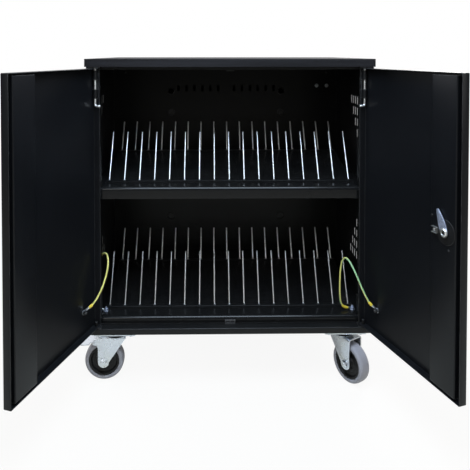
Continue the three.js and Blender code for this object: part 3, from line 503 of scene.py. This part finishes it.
lock_middle, lock_hole = (297, 480), 26.2
# The doors' bluish tones are a painted sheen, not a different paint.
door_sheen_tones = (0.0034, 0.0038, 0.0048), (0.0056, 0.0062, 0.0078)
door_coat_painted_sheen = material("door_coat_painted_sheen", {"Specular IOR Level": 0.22}, black_coat(0.34, 0.08, 0.85, *door_sheen_tones))
skin_arc = np.radians(np.linspace(90, 0, 6))
section = np.concatenate([
    np.stack([2 - 2 * np.cos(skin_arc), -7 - 2 * np.sin(skin_arc)], axis=1),
    [(0, 8.3), (0.2, 8.8), (0.5, 9), (1.0, 9), (1.3, 8.8), (1.5, 8.3)],
    np.stack([2.5 - np.cos(skin_arc[::-1]), -6.5 - np.sin(skin_arc[::-1])], axis=1),
])
for side in sides:
    loops = [frame_loop(inset, max(2.0 - inset, 0.0)) for inset, _ in section]
    depths = [depth for _, depth in section]
    if side == "right":
        angle = 2 * np.pi * (np.arange(20) + 0.5) / 20
        lock_rim = np.stack([np.cos(angle), np.sin(angle)], axis=1) * lock_hole
        middle = np.array(lock_middle) + lock_rim
    else:
        middle = frame_loop(door_half[0], 0.0)
    loops = np.array([middle] + loops + [middle])
    depths = np.array([-9.0] + depths + [-7.5])[:, None, None]
    depths = np.broadcast_to(depths, loops.shape[:2] + (1,))
    places = np.concatenate([loops[..., :1], depths, loops[..., 1:]], axis=2)
    pan = [(on_door(side, places), side == "right", True)]
    piece(f"{side}_door", pan, door_coat_painted_sheen, f"{side}_door", [f"{side}_door_pan"])
    outer = rounded([(252.5, -7.3), (252.5, 7.7), (324.5, 7.7), (324.5, -7.3)], 3.0)
    inner = rounded([(254, -7.3), (254, 6.2), (323, 6.2), (323, -7.3)], 1.5)
    channel = bent_sheet(outer, inner, (153.5, 798.5), along_z)
    channel = [(on_door(side, points), *ends) for points, *ends in channel]
    piece(f"{side}_stiffener", channel, door_coat_painted_sheen, f"{side}_door", [f"{side}_door_stiffener"])


# The hinge hardware: a black coated bracket and bottom pivot, and a bright sprung pin bent into a handle.
# The pin is drawn down by its handle to lift the door off.
def zinc_skin(place):
    """Bright zinc: a fine spangle, upright brushing and a faint yellowish bloom in patches."""
    spangle = place.noise(90.0, 3.0)
    brushed = place.noise(700.0, 2.0, (1.0, 1.0, 0.08))
    plate = spangle.mix((0.64, 0.68, 0.75, 1), (0.76, 0.80, 0.87, 1))
    plate = (0.40 * place.noise(14.0, 3.0).ramp(0.46, 0.66)).mix(plate, (0.66, 0.67, 0.60, 1))
    rough = 0.24 + 0.14 * (spangle - 0.5) + 0.10 * brushed
    return {"Base Color": plate, "Roughness": rough, "Normal": brushed.bump(0.05, 0.0001)}


def tube(path, radius, count, across):
    """A circle carried along a path: each ring lies across it and starts square to the across direction."""
    path = np.array(path, float)
    run = np.gradient(path, axis=0)
    run /= np.linalg.norm(run, axis=1)[:, None]
    side = np.cross(across, run)
    side /= np.linalg.norm(side, axis=1)[:, None]
    other = np.cross(run, side)
    angle = 2 * np.pi * np.arange(count) / count
    ring = np.cos(angle)[None, :, None] * side[:, None] + np.sin(angle)[None, :, None] * other[:, None]
    return path[:, None] + np.broadcast_to(np.array(radius, float), len(path))[:, None, None] * ring


zinc_plate = material("zinc_plate", {"Metallic": 1.0}, zinc_skin)
wire_chrome = material("wire_chrome", {"Metallic": 1.0}, bright_wire(0.97, 0.36))
nose = np.radians(np.linspace(-90, 90, 13))
barrel = np.concatenate([[(-6.3, -6)], np.stack([6 * np.cos(nose), 6 * np.sin(nose)], axis=1), [(-6.3, 6)]])
web = [(-6.3, -6), (-4.8, -6), (-4.8, 6), (-6.3, 6)]
pin_top, pin_foot, pin_reach = 814, 709, 15
bend = rounded([(0, pin_top - 1), (0, pin_foot), (pin_reach - 1, pin_foot)], 4.5, 8)
pin_end = [(pin_reach - 0.4, pin_foot), (pin_reach, pin_foot), (pin_reach, pin_foot)]
pin_path = np.concatenate([[(0, pin_top), (0, pin_top)], bend, pin_end])
pin_path = np.stack([np.zeros(len(pin_path)), *pin_path.T], axis=1)
pin_path[0, 2] += 1e-3
pin_path[-1, 1] += 1e-3
pin_radius = np.concatenate([[0, 2.2], np.full(len(bend), 3.0), [2.6, 1.6, 0]])
for side in sides:
    bracket = [slab(barrel, (728, 751), along_z, 0.6), slab(barrel, (775, 799), along_z, 0.6),
               slab(web, (750, 776), along_z, 0.3)]
    bracket = [(on_door(side, points), *ends) for points, *ends in bracket]
    piece(f"{side}_bracket", bracket, panel_coat, f"{side}_door", [f"{side}_pin_bracket"])
    pin = on_door(side, tube(pin_path, pin_radius, 16, (1, 0, 0)))
    piece(f"{side}_pin", [(pin, False, True)], wire_chrome, f"{side}_pin", [f"{side}_hinge_pin"])
    x = hinge_x * signs[side]
    foot = [(x - 13, 1), (x + 13, 1), (x + 13, 25), (x - 13, 25)]
    post = [(0, 0), (0, 5.2), (1.0, 4.2), (13.6, 4.0), (14.2, 3.2), (14.2, 0)]
    pivot = [slab(foot, (144.2, 146.2), along_z)]
    pivot.append((turned(post, 20, (x, hinge_y, 146), (0, 0, 1)), False, True))
    piece(f"{side}_pivot", pivot, panel_coat, "cabinet", [f"{side}_bottom_pivot"])


# The screws: black pan heads with a cross recess that hold the panels and the hinge plates.
# Each is a low dome with its recess sunk as a four-sided pit.
def screw(centre, facing, radius):
    """A pan head on a face: a dome of the radius over a short wall, and a pit of a third of it."""
    head = [(0, 1.0), (0.25, 1.0), (0.42, 0.9), (0.52, 0.7), (0.56, 0.42)]
    pit = [(0.56, 0.36), (0.30, 0.26), (0.24, 0.0)]
    dome = turned(np.array(head) * radius, 20, centre, facing)
    sunk = turned(np.array(pit) * radius, 4, centre, facing)
    rim = np.repeat(sunk[:1], 5, axis=1)
    return [(np.concatenate([dome, rim]), False, True), (sunk, False, True)]


cabinet_screws = []
for sign in (-1, 1):
    for z in (165, 480, 790):
        cabinet_screws += screw((sign * 345, cabinet_depth, z), (0, 1, 0), 4.0)
    for z in (718, 770):
        cabinet_screws += screw((sign * 343, riser_face, z), (0, -1, 0), 3.0)
    for x in (sign * 30, sign * 235):
        cabinet_screws += screw((x, cabinet_depth, 165), (0, 1, 0), 4.0)
        cabinet_screws += screw((x, cabinet_depth, 790), (0, 1, 0), 4.0)
    for y in (60, 440):
        cabinet_screws += screw((sign * half_width, y, 158), (sign, 0, 0), 4.0)
        cabinet_screws += screw((sign * half_width, y, 792), (sign, 0, 0), 4.0)
    for z in (200, 470, 540, 780):
        cabinet_screws += screw((sign * 322, partition_y, z), (0, -1, 0), 3.4)
piece("cabinet_screws", cabinet_screws, panel_coat, "cabinet")


# The lock: a black dish in the right door with a plated knob outside and a plated cam blade inside.
# The blade turns with the knob and reaches behind the other door's edge, past a small plated clevis.
# A dull plated strike frame with two slots stands on the ledge, against the riser.
def on_lock(points):
    """Door points of shapes drawn about the lock's middle: across the door, through it, and up."""
    return on_door("right", np.array(points, float) + (lock_middle[0], 0, lock_middle[1]))


def dull_steel(deep, pale):
    """Dull plated steel, finely spangled from deep to pale."""

    def recipe(place):
        spangle = place.noise(420.0, 3.0)
        plate = spangle.ramp(0.3, 0.7).mix((*deep, 1), (*pale, 1))
        rough = 0.58 + 0.3 * (place.noise(70.0, 2.0) - 0.5)
        return {"Base Color": plate, "Roughness": rough, "Normal": spangle.bump(0.35, 0.0005)}

    return recipe


cam_steel = dull_steel((0.30, 0.34, 0.45), (0.52, 0.57, 0.70))
strike_steel = dull_steel((0.10, 0.105, 0.115), (0.22, 0.225, 0.24))
cam_plate = material("cam_plate", {"Metallic": 1.0}, cam_steel)
strike_skin = material("strike_skin", {"Metallic": 1.0}, strike_steel)
through = (0, 1, 0)
dish = [(6.2, 6.3), (6.2, 22.5), (5.7, 23), (-10.6, 23), (-11.2, 23.6), (-11.2, 29.2),
        (-10.6, 30), (-9.2, 30), (-9.2, 26), (8.6, 26), (9.2, 25.2), (9.2, 6.3)]
piece("lock_bowl", [(on_lock(turned(dish, 40, (0, 0, 0), through)), True, True)],
      black_moulding, "right_door", ["lock_dish"])
lean = math.radians(25)
leaning = [(math.cos(lean), 0, math.sin(lean)), (-math.sin(lean), 0, math.cos(lean)), (0, 1, 0)]
knob = [(-7.7, 0), (-7.7, 20.6), (-7.1, 22), (-6, 22.7), (5.9, 22.7), (5.9, 6), (9.5, 6), (9.5, 0)]
end = np.radians(np.linspace(-90, 90, 9))
cap = np.stack([5.5 * np.sin(end), 16.2 + 5.5 * np.cos(end)], axis=1)
ridge = slab(np.concatenate([cap, -cap]), (-11.2, -6.8), leaning, 1.0)
grip = [turned(knob, 40, (0, 0, 0), through), ridge[0]]
piece("lock_knob", [(on_lock(points), False, True) for points in grip],
      wire_chrome, "lock", ["lock_handle"])
blade_run = np.array([-8.3, -6.4, -3.5, 0, 6, 14, 22, 32, 42, 46.4, 48])
blade_half = np.array([3.5, 6.6, 8.9, 10, 10.5, 10.4, 9.2, 7.2, 5.0, 3.6, 1.8])
blade_side = np.stack([blade_half, blade_run], axis=1)
blade = np.concatenate([blade_side, (blade_side * (-1, 1))[::-1]])
washer_ring = [(12.7, 0), (12.7, 10.4), (13.4, 10.4), (13.4, 0)]
cam_nut = [(13.4, 0), (13.4, 8), (14.9, 8), (15.5, 7.1), (15.5, 4.4), (14.0, 3.4), (14.0, 0)]
cam = slab(blade, (9.8, 12.8), leaning, 0.6)[0]
piece("lock_blade", [(on_lock(cam), False, True)], cam_plate, "lock", ["lock_cam"])
stack = [turned(washer_ring, 28, (0, 0, 0), through), turned(cam_nut, 6, (0, 0, 0), through, lean)]
piece("lock_nut", [(on_lock(points), False, True) for points in stack], wire_chrome, "lock")
shaft_end = [(13.6, 0), (13.6, 4.3), (15.0, 4.1), (15.2, 3.6), (14.4, 2.4), (14.4, 0)]
piece("lock_shaft", [(on_lock(turned(shaft_end, 20, (0, 0, 0), through)), False, True)],
      black_moulding, "lock")
clevis_outer = rounded([(-37, -9), (-21, -9), (-21, 4), (-37, 4)], 2.0, 4)
clevis_inner = rounded([(-37, -7.6), (-22.4, -7.6), (-22.4, 2.6), (-37, 2.6)], 0.7, 4)
clevis = bent_sheet(clevis_outer, clevis_inner, (7.8, 13), along_y)
clevis = [(on_lock(points), *ends) for points, *ends in clevis]
rivet = [(7.7, 0), (7.7, 3.4), (11.6, 3.4), (12.2, 2.6), (12.2, 0)]
clevis.append((on_lock(turned(rivet, 16, (-30, 0, -2.5), through)), False, True))
piece("lock_clevis", clevis, wire_chrome, "right_door")
strike_bars = [(-13.5, 13.5, 151.6, 155.2), (-13.5, 13.5, 144.2, 148.4)]
strike_bars += [(left, right, 147.8, 152.2) for left, right in ((-13.5, -11.2), (-1.6, 1.6), (11.2, 13.5))]
strike = []
for left, right, low, high in strike_bars:
    bar = [(left, low), (right, low), (right, high), (left, high)]
    strike.append(slab(bar, (22.6, 23.9), along_y, 0.3))
piece("strike_frame", strike, strike_skin, "cabinet")
lock_screws = []
for across, up in ((9, -34), (-40, 24)):
    foot = on_lock((across, 7.7, up))
    lock_screws += screw(foot, on_lock((across, 8.7, up)) - foot, 3.0)
piece("lock_screws", lock_screws, panel_coat, "right_door")


# The earth leads: limp green and yellow stranded wires from a stud on the floor to one on each door.
# Each ends in a yellow sleeve over a crimped eye that sits under the stud's nut.
lead_radius = 2.2
lead_routes = {
    "left": [
        (333.4, 59.4, 167.2), (338, 58.6, 168.6), (344, 57, 180), (348.5, 55.5, 212), (350, 55, 246),
        (347, 56, 280), (339, 54, 307), (329, 47, 320), (319, 36, 322), (313, 22, 311),
        (313, 8, 290), (319, -6, 264), (330, -19, 238), (343, -27.5, 220), (356.9, -33.2, 210.6),
    ],
    "right": [
        (318.6, 59.6, 167.2), (311, 58.8, 167.8), (302, 57.4, 171.5), (295, 55.8, 182), (292, 54.3, 200),
        (291, 52.5, 225), (290.8, 50, 252), (291.5, 45.5, 280), (294, 37, 302), (298.5, 25, 313),
        (304, 12, 311), (311, -1, 298), (319, -12, 279), (328, -20.5, 256), (337, -26.5, 236),
        (346, -30.5, 220), (356.9, -33.2, 210.6),
    ],
}


def smooth_route(points, per_span):
    """A centripetal Catmull-Rom curve through the points, the knots spaced by the root of the chord."""
    points = np.array(points, float)
    points = np.concatenate([[2 * points[0] - points[1]], points, [2 * points[-1] - points[-2]]])
    knots = np.concatenate([[0], np.cumsum(np.sqrt(np.linalg.norm(np.diff(points, axis=0), axis=1)))])
    spans = len(points) - 3
    share = np.linspace(0, 1, per_span, endpoint=False)
    near = [points[k:k + spans, None] for k in range(4)]
    knot = [knots[k:k + spans, None, None] for k in range(4)]
    at = knot[1] + (knot[2] - knot[1]) * share[None, :, None]

    def between(start, end, first, last):
        return (start * (last - at) + end * (at - first)) / (last - first)

    once = [between(near[k], near[k + 1], knot[k], knot[k + 1]) for k in range(3)]
    twice = [between(once[k], once[k + 1], knot[k], knot[k + 2]) for k in range(2)]
    curve = between(twice[0], twice[1], knot[1], knot[2]).reshape(-1, 3)
    return np.concatenate([curve, points[-2:-1]])


def striped_wire(place):
    """Green where the sine of the map's turns is low and yellow where it is high, softly blended."""
    turn = place.node("SeparateXYZ", {}, {0: place}, "X")
    wave = turn.maths("SINE", turn * (2 * math.pi))
    cloud = place.noise(60.0, 2.0)
    skin = wave.ramp(-0.35, 0.35).mix((0.22, 0.46, 0.24, 1), (0.66, 0.62, 0.17, 1))
    skin = (0.25 * cloud).mix(skin, (0.50, 0.54, 0.26, 1))
    return {"Base Color": skin, "Roughness": 0.40 + 0.15 * (cloud - 0.5)}


def yellow_sleeve_skin(place):
    """Yellow plastic, finely clouded."""
    cloud = place.noise(300.0, 3.0)
    skin = cloud.mix((0.66, 0.50, 0.03, 1), (0.80, 0.65, 0.08, 1))
    return {"Base Color": skin, "Roughness": 0.42 + 0.15 * (cloud - 0.5), "Normal": cloud.bump(0.2, 0.0003)}


def part_of(path, along, first, last, count=12):
    """The stretch of a path between two lengths along it."""
    at = np.linspace(first, last, count)
    return np.stack([np.interp(at, along, path[:, k]) for k in range(3)], axis=1)


def wind_stripes(mesh, path, along, twist, phase):
    """The stripes' map: turns round the path plus the twist times the length along it, then that length."""
    layer = mesh.uv_layers.new(name="wind")
    corners = np.empty(len(mesh.loops), int)
    mesh.loops.foreach_get("vertex_index", corners)
    places = np.empty(len(mesh.vertices) * 3)
    mesh.vertices.foreach_get("co", places)
    places = (places.reshape(-1, 3) - (0, front, 0)) * 1000
    nearest = np.argmin(np.linalg.norm(places[:, None] - path[None], axis=2), axis=1)
    away = places - path[nearest]
    run = np.gradient(path, axis=0)[nearest]
    run /= np.linalg.norm(run, axis=1)[:, None]
    beside = np.cross((0.0, 1.0, 0.0), run)
    turn = np.arctan2((away * np.cross(run, beside)).sum(1), (away * beside).sum(1)) / (2 * np.pi)
    wind = np.stack([turn + twist * along[nearest] + phase, along[nearest] * 0.001], axis=1)
    layer.data.foreach_set("uv", wind[corners].ravel())


lead_skin = material("earth_lead_skin", {}, striped_wire, "UV")
sleeve_skin = material("yellow_sleeve", {}, yellow_sleeve_skin)
washer = [(0, 0), (0, 6.8), (0.2, 7), (1.1, 7), (1.3, 6.8), (1.3, 0)]
eye = [(1.4, 3.1), (1.4, 6.2), (2.3, 6.2), (2.3, 3.1)]
nut = [(2.3, 0), (2.3, 5.4), (6.4, 5.4), (7.0, 4.7), (7.0, 0)]
pitch = 7 + 0.25 * np.arange(15)
crests = np.stack([pitch, np.where(np.arange(15) % 2, 3.0, 2.6)], axis=1)
thread = np.concatenate([crests, [(11, 2.1), (11, 0)]])
for side, twist, phase in (("left", 0.0, 0.5), ("right", 0.00385, 0.173)):
    sign = signs[side]
    path = smooth_route(np.array(lead_routes[side]) * (sign, 1, 1), 8)
    along = np.concatenate([[0], np.cumsum(np.linalg.norm(np.diff(path, axis=0), axis=1))])
    length = along[-1]
    skin = tube(path, lead_radius, 14, (0, 1, 0))
    caps = np.broadcast_to(path[[0, -1], None], (2,) + skin.shape[1:])
    closed = np.concatenate([caps[:1], skin, caps[1:]])
    lead = piece(f"{side}_lead", [(closed, False, True)], lead_skin)
    wind_stripes(lead.data, path, along, twist, phase)
    floor_stud = np.array([sign * 326, 60, 162.2])
    door_stud = on_door(side, (50, -7.3, 205))
    inward = on_door(side, (50, -6.3, 205)) - door_stud
    for end, stud, up, node, body in (
        ("floor", floor_stud, np.array([0.0, 0.0, 1.0]), f"{side}_earth_stud", "cabinet"),
        ("door", door_stud, inward, f"{side}_door_stud", f"{side}_door"),
    ):
        stack = [(turned(washer, 24, stud, up), False, True), (turned(nut, 6, stud, up), False, True),
                 (turned(thread, 16, stud, up), False, True)]
        stud_finish = cam_plate if end == "floor" else panel_coat
        piece(f"{side}_{end}_stud", stack, stud_finish, body, [node])
        rings = [(turned(eye, 24, stud, up), True, True)]
        tail = path[0] if end == "floor" else path[-1]
        rim = stud + 1.9 * up
        out = (tail - rim) - ((tail - rim) @ up) * up
        rim = rim + 4.6 * out / np.linalg.norm(out)
        if end == "floor":
            inside = part_of(path, along, 8.0, 0.5, 6)
            sleeve_path = part_of(path, along, 4.0, 24.0)
        else:
            inside = part_of(path, along, length - 9.5, length - 0.5, 6)
            sleeve_path = part_of(path, along, length - 19.0, length - 8.0)
        neck = np.concatenate([inside, [0.5 * (tail + rim), rim]])
        crimp = [2.3, 2.7, 2.75, 2.45, 2.75, 2.6, 1.7, 1.0]
        rings.append((tube(neck, crimp, 14, (0, 1, 0) if end == "floor" else (0, 1, 0.3)), False, True))
        piece(f"{side}_{end}_terminal", rings, zinc_plate, body)
        swell = 2.3 + 1.3 * np.sin(np.linspace(0.15, np.pi - 0.35, len(sleeve_path))) ** 0.6
        sleeve = [(tube(sleeve_path, swell, 16, (0, 1, 0)), False, True)]
        piece(f"{side}_{end}_sleeve", sleeve, sleeve_skin, body)
    route = path * 0.001 + (0, front, 0)
    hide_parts(f"{side}_earth_lead")
    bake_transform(lead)


# The casters: a plated top plate and ball race, a pressed fork, a black moulded hub and a grey tyre.
# The front left and rear right ones have a brake pedal on a pin through ears of the fork.
def tyre_skin(place):
    """Grey rubber, clouded, with paler scuffs."""
    cloud = place.noise(30.0, 3.0)
    scuff = place.noise(220.0, 4.0)
    skin = cloud.mix((0.20, 0.20, 0.225, 1), (0.28, 0.28, 0.315, 1))
    skin = (0.35 * scuff.ramp(0.5, 0.8)).mix(skin, (0.37, 0.37, 0.39, 1))
    return {"Base Color": skin, "Roughness": 0.52 + 0.2 * (scuff - 0.5), "Normal": scuff.bump(0.12, 0.0003)}


trail, axle_height = 31.0, 50.0
cheek, fork_foot = 21.0, 14.0
fork_front, fork_rear, fork_crown = -26.0, 45.0, 114.5


def fork_sheet(braked):
    """The middle of the pressed fork: rows across the sheet from one foot over the crown to the other.

    Each row runs from the leading to the trailing edge of a cheek, which is pressed out in the middle by a
    squared sine; a braked fork has its trailing edge swept out through a fillet into an ear.
    """
    foot = np.radians(np.linspace(-84, 0, 9))
    fillet = np.radians(np.linspace(180, 90, 8))
    if braked:
        edge_x = np.concatenate([np.full(3, fork_rear), 55 + 10 * np.cos(fillet), [58.2, 59, 59, 52.5]])
        edge_z = np.concatenate([[56, 66, 76], 84.5 + 10 * np.sin(fillet), [94.6, 95.4, 103.6, 109.8]])
    else:
        edge_x = np.full(15, fork_rear)
        edge_z = np.linspace(54, 110, 15)
    lead_z = np.linspace(53, 110, 15)
    bend = np.radians(np.linspace(0, 90, 6))
    over_y = np.concatenate([cheek - 3.5 + 3.5 * np.cos(bend), [8.0, 0.0]])
    over_z = np.concatenate([fork_crown - 3.5 + 3.5 * np.sin(bend), [fork_crown, fork_crown]])
    lead_x = np.interp(lead_z, [axle_height, 112.5], [trail - fork_foot, fork_front])
    foot_x = fork_foot * np.cos(foot)
    foot_z = axle_height + fork_foot * np.sin(foot)
    first = np.concatenate([
        np.stack([trail - foot_x, np.full(9, cheek), foot_z], axis=1),
        np.stack([lead_x, np.full(15, cheek), lead_z], axis=1),
        np.stack([np.full(8, fork_front), over_y, over_z], axis=1),
    ])
    last = np.concatenate([
        np.stack([trail + foot_x, np.full(9, cheek), foot_z], axis=1),
        np.stack([edge_x, np.full(15, cheek), edge_z], axis=1),
        np.stack([np.full(8, fork_rear), over_y, over_z], axis=1),
    ])
    share = np.linspace(0, 1, 13)[None, :, None]
    half = first[:, None] * (1 - share) + last[:, None] * share
    rise = np.interp(half[..., 2], [60, 78, 98, 109], [0, 1, 1, 0]) * (half[..., 1] > cheek - 0.1)
    half[..., 1] += 1.3 * rise * np.sin(np.pi * share[..., 0]) ** 2
    return np.concatenate([half, (half * (1, -1, 1))[-2::-1]])


tyre_rubber = material("tyre_rubber", {"Specular IOR Level": 0.4}, tyre_skin)
crown = np.linspace(-np.pi / 2, np.pi / 2, 25)
tread = np.stack([
    16 * np.sign(crown) * np.abs(np.sin(crown)) ** 0.7, 40.6 + 9.4 * np.cos(crown).clip(0) ** 0.55,
], axis=1)
tyre_profile = np.concatenate([tread, [(15.4, 39.6), (14.6, 39.1), (-14.6, 39.1), (-15.4, 39.6)]])
hub_side = np.array([
    (15, 6.3), (15, 12.4), (14.5, 13.4), (9.5, 15.6), (7.6, 17.4), (7.0, 19.6), (7.0, 22.2), (6.4, 22.6),
    (6.4, 24.2), (7.0, 24.6), (7.0, 28.4), (7.8, 31.0), (11.5, 33.2), (13.4, 34.2),
    (14.0, 35.4), (14.0, 38.8),
])
hub_profile = np.concatenate([hub_side, hub_side[::-1] * (-1, 1)])
head_profile = [(0, 0), (0, 27), (1.2, 29.6), (2.8, 31), (3.6, 31), (4.2, 30), (4.2, 0)]
king_nut = [(0, 0), (0, 9), (-4, 9), (-5, 7.8), (-5, 0)]
seal_profile = [(0, 25), (0, 29.6), (0.6, 30.2), (4.6, 28.6), (5.4, 26.4), (5.4, 25)]
axle_washer = [(22.4, 0), (22.4, 11), (23.6, 11), (23.6, 0)]
axle_nut = [(23.6, 0), (23.6, 9), (27.2, 9), (28.0, 7.8), (28.0, 0)]
axle_end = [(27.8, 0), (27.8, 4.2), (28.3, 4.0), (28.5, 3.4), (28.5, 0)]
joints = {joint["name"]: joint for joint in frame["joints"]}
for caster in ("front_left", "front_right", "rear_left", "rear_right"):
    swivel = np.array(joints[f"{caster}_swivel_turn"]["pos_m"]) - (0, front, 0)
    wheel = np.array(joints[f"{caster}_wheel_spin"]["pos_m"]) - (0, front, 0)
    ahead = (wheel - swivel) * (1, 1, 0)
    ahead /= np.linalg.norm(ahead)
    axle = np.cross((0, 0, 1), ahead)
    stand = swivel * (1000, 1000, 0)
    axes = np.stack([ahead, axle, (0, 0, 1)])
    hub_place = np.array([trail, 0, axle_height]) @ axes + stand
    braked = caster in ("front_left", "rear_right")
    body = f"{caster}_swivel"
    cheeks = piece(f"{caster}_fork_sheet", [(fork_sheet(braked) @ axes + stand, False, False)],
                   zinc_plate, body, [f"{caster}_fork"])
    plump = cheeks.modifiers.new("sheet", "SOLIDIFY")
    plump.thickness = 0.003
    plump.offset = 0
    roll = cheeks.modifiers.new("roll", "BEVEL")
    roll.width = 0.0006
    roll.segments = 2
    roll.limit_method = "ANGLE"
    roll.angle_limit = math.radians(50)
    fixings = [(turned(head_profile, 36, stand + (0, 0, 112.8), (0, 0, 1)), False, True),
               (turned(king_nut, 6, stand + (0, 0, 113), (0, 0, 1)), False, True)]
    for way in (-1, 1):
        fixings += [(turned(axle_washer, 24, hub_place, axle * way), False, True),
                    (turned(axle_nut, 6, hub_place, axle * way), False, True),
                    (turned(axle_end, 16, hub_place, axle * way), False, True)]
    shaft = [(-22, 0), (-22, 5.9), (22, 5.9), (22, 0)]
    fixings.append((turned(shaft, 20, hub_place, axle), False, True))
    piece(f"{caster}_swivel_head", fixings, zinc_plate, body)
    seal = turned(seal_profile, 36, stand + (0, 0, 117.2), (0, 0, 1))
    piece(f"{caster}_dust_seal", [(seal, True, True)], black_moulding, "cabinet")
    piece(f"{caster}_wheel_hub", [(turned(hub_profile, 48, hub_place, axle), True, True)],
          black_moulding, f"{caster}_wheel", [f"{caster}_hub"])
    piece(f"{caster}_wheel_tyre", [(turned(tyre_profile, 72, hub_place, axle), True, True)],
          tyre_rubber, f"{caster}_wheel", [f"{caster}_tyre"])
    dress([f"{caster}_caster_plate"], zinc_plate, 0.0006)
dress(["front_left_brake_pedal", "rear_right_brake_pedal"], zinc_plate, 0.0006)


# The studio: a white sweep under soft lamps, seen from in front of the open doors.
# The camera sees the sweep as nearly white, wholly so far off, and mirrors see a little of that white.
# Close by, the cart still shades it.
def studio_floor():
    """White light for the rays that see it, by a share that grows with the distance, and a lit floor else."""
    made = bpy.data.materials.new("studio_floor")
    made.use_nodes = True
    tree = made.node_tree
    tree.nodes.remove(tree.nodes["Principled BSDF"])
    rays = tree.nodes.new("ShaderNodeLightPath").outputs
    start = Tone(tree, rays["Is Camera Ray"])
    seen = start + 0.13 * Tone(tree, rays["Is Glossy Ray"]) + Tone(tree, rays["Is Transmission Ray"])
    lit = start.node("BsdfDiffuse", {}, {"Color": (0.62, 0.604, 0.54, 1)})
    white = start.node("Emission", {}, {"Color": (1, 1, 1, 1), "Strength": 1.0})
    place = Tone(tree, tree.nodes.new("ShaderNodeTexCoord").outputs["Object"])
    away = start.node("VectorMath", {"operation": "LENGTH"}, {0: place}, "Value").ramp(0.5, 1.6)
    share = seen.maths("MINIMUM", seen, 1.0) * (0.92 + 0.08 * away)
    both = start.node("MixShader", {}, {0: share, 1: lit, 2: white})
    tree.links.new(both.socket, tree.nodes["Material Output"].inputs["Surface"])
    return made


sweep = 40.0
floor_mesh = bpy.data.meshes.new("studio_floor")
floor_corners = [(-sweep, -sweep, 0), (sweep, -sweep, 0), (sweep, sweep, 0), (-sweep, sweep, 0)]
floor_mesh.from_pydata(floor_corners, [], [(0, 1, 2, 3)])
floor_mesh.materials.append(studio_floor())
floor = bpy.data.objects.new("studio_floor", floor_mesh)
bpy.context.scene.collection.objects.link(floor)

world = bpy.data.worlds.new("studio")
bpy.context.scene.world = world
world.use_nodes = True
sky = world.node_tree
rays = sky.nodes.new("ShaderNodeLightPath").outputs
start = Tone(sky, rays["Is Camera Ray"])
mirrored = Tone(sky, rays["Is Glossy Ray"])
facing = Tone(sky, sky.nodes.new("ShaderNodeTexCoord").outputs["Generated"])
backdrop = start.node("SeparateXYZ", {}, {0: facing}, "Y").ramp(-0.35, 0.35)
ambient = 0.26
seen = start + Tone(sky, rays["Is Transmission Ray"]) + mirrored * (0.05 + 0.95 * backdrop)
strength = seen.maths("MAXIMUM", seen.maths("MINIMUM", seen, 1.0), ambient * (1 - mirrored))
sky.links.new(strength.socket, sky.nodes["Background"].inputs["Strength"])
sky.nodes["Background"].inputs["Color"].default_value = (1, 1, 1, 1)


def lamp(name, place, aim, size, power, colour):
    """A square soft lamp at a place, turned to shine at a point."""
    light = bpy.data.lights.new(name, "AREA")
    light.size = size
    light.energy = power
    light.color = colour
    made = bpy.data.objects.new(name, light)
    bpy.context.scene.collection.objects.link(made)
    made.location = place
    made.rotation_euler = (Vector(place) - Vector(aim)).to_track_quat("Z", "Y").to_euler()


lamp("key_lamp", (-1.5, -2.6, 2.1), (0, 0.1, 0.45), 1.4, 34, (1.0, 0.98, 0.95))
lamp("fill_lamp", (1.9, -2.4, 1.6), (0, 0.1, 0.45), 1.4, 20, (1.0, 0.99, 0.97))
lamp("top_lamp", (0.0, -0.5, 1.6), (0, -0.2, 0.4), 0.9, 30, (0.70, 0.84, 1.0))
lamp("back_lamp", (1.7, 2.2, 2.2), (0, 0.4, 0.45), 1.2, 60, (1.0, 0.98, 0.95))
lamp("side_lamp", (-2.4, 1.2, 1.1), (0, 0.3, 0.45), 1.0, 26, (0.97, 0.98, 1.0))

picture = 470
focal = 537.5
lens_shift = (0.035, -0.36)
camera_pitch = 0.0239
camera_yaw = 0.0151
camera_place = (-0.0505, front - 1.3477, 0.8430)
view = bpy.data.cameras.new("camera")
view.sensor_width = 36.0
view.lens = focal * view.sensor_width / picture
view.shift_x, view.shift_y = lens_shift
camera = bpy.data.objects.new("camera", view)
camera.location = camera_place
camera.rotation_euler = (math.pi / 2 - camera_pitch, 0, -camera_yaw)
bpy.context.scene.collection.objects.link(camera)
bpy.context.scene.camera = camera
bpy.context.scene.view_settings.view_transform = "Standard"
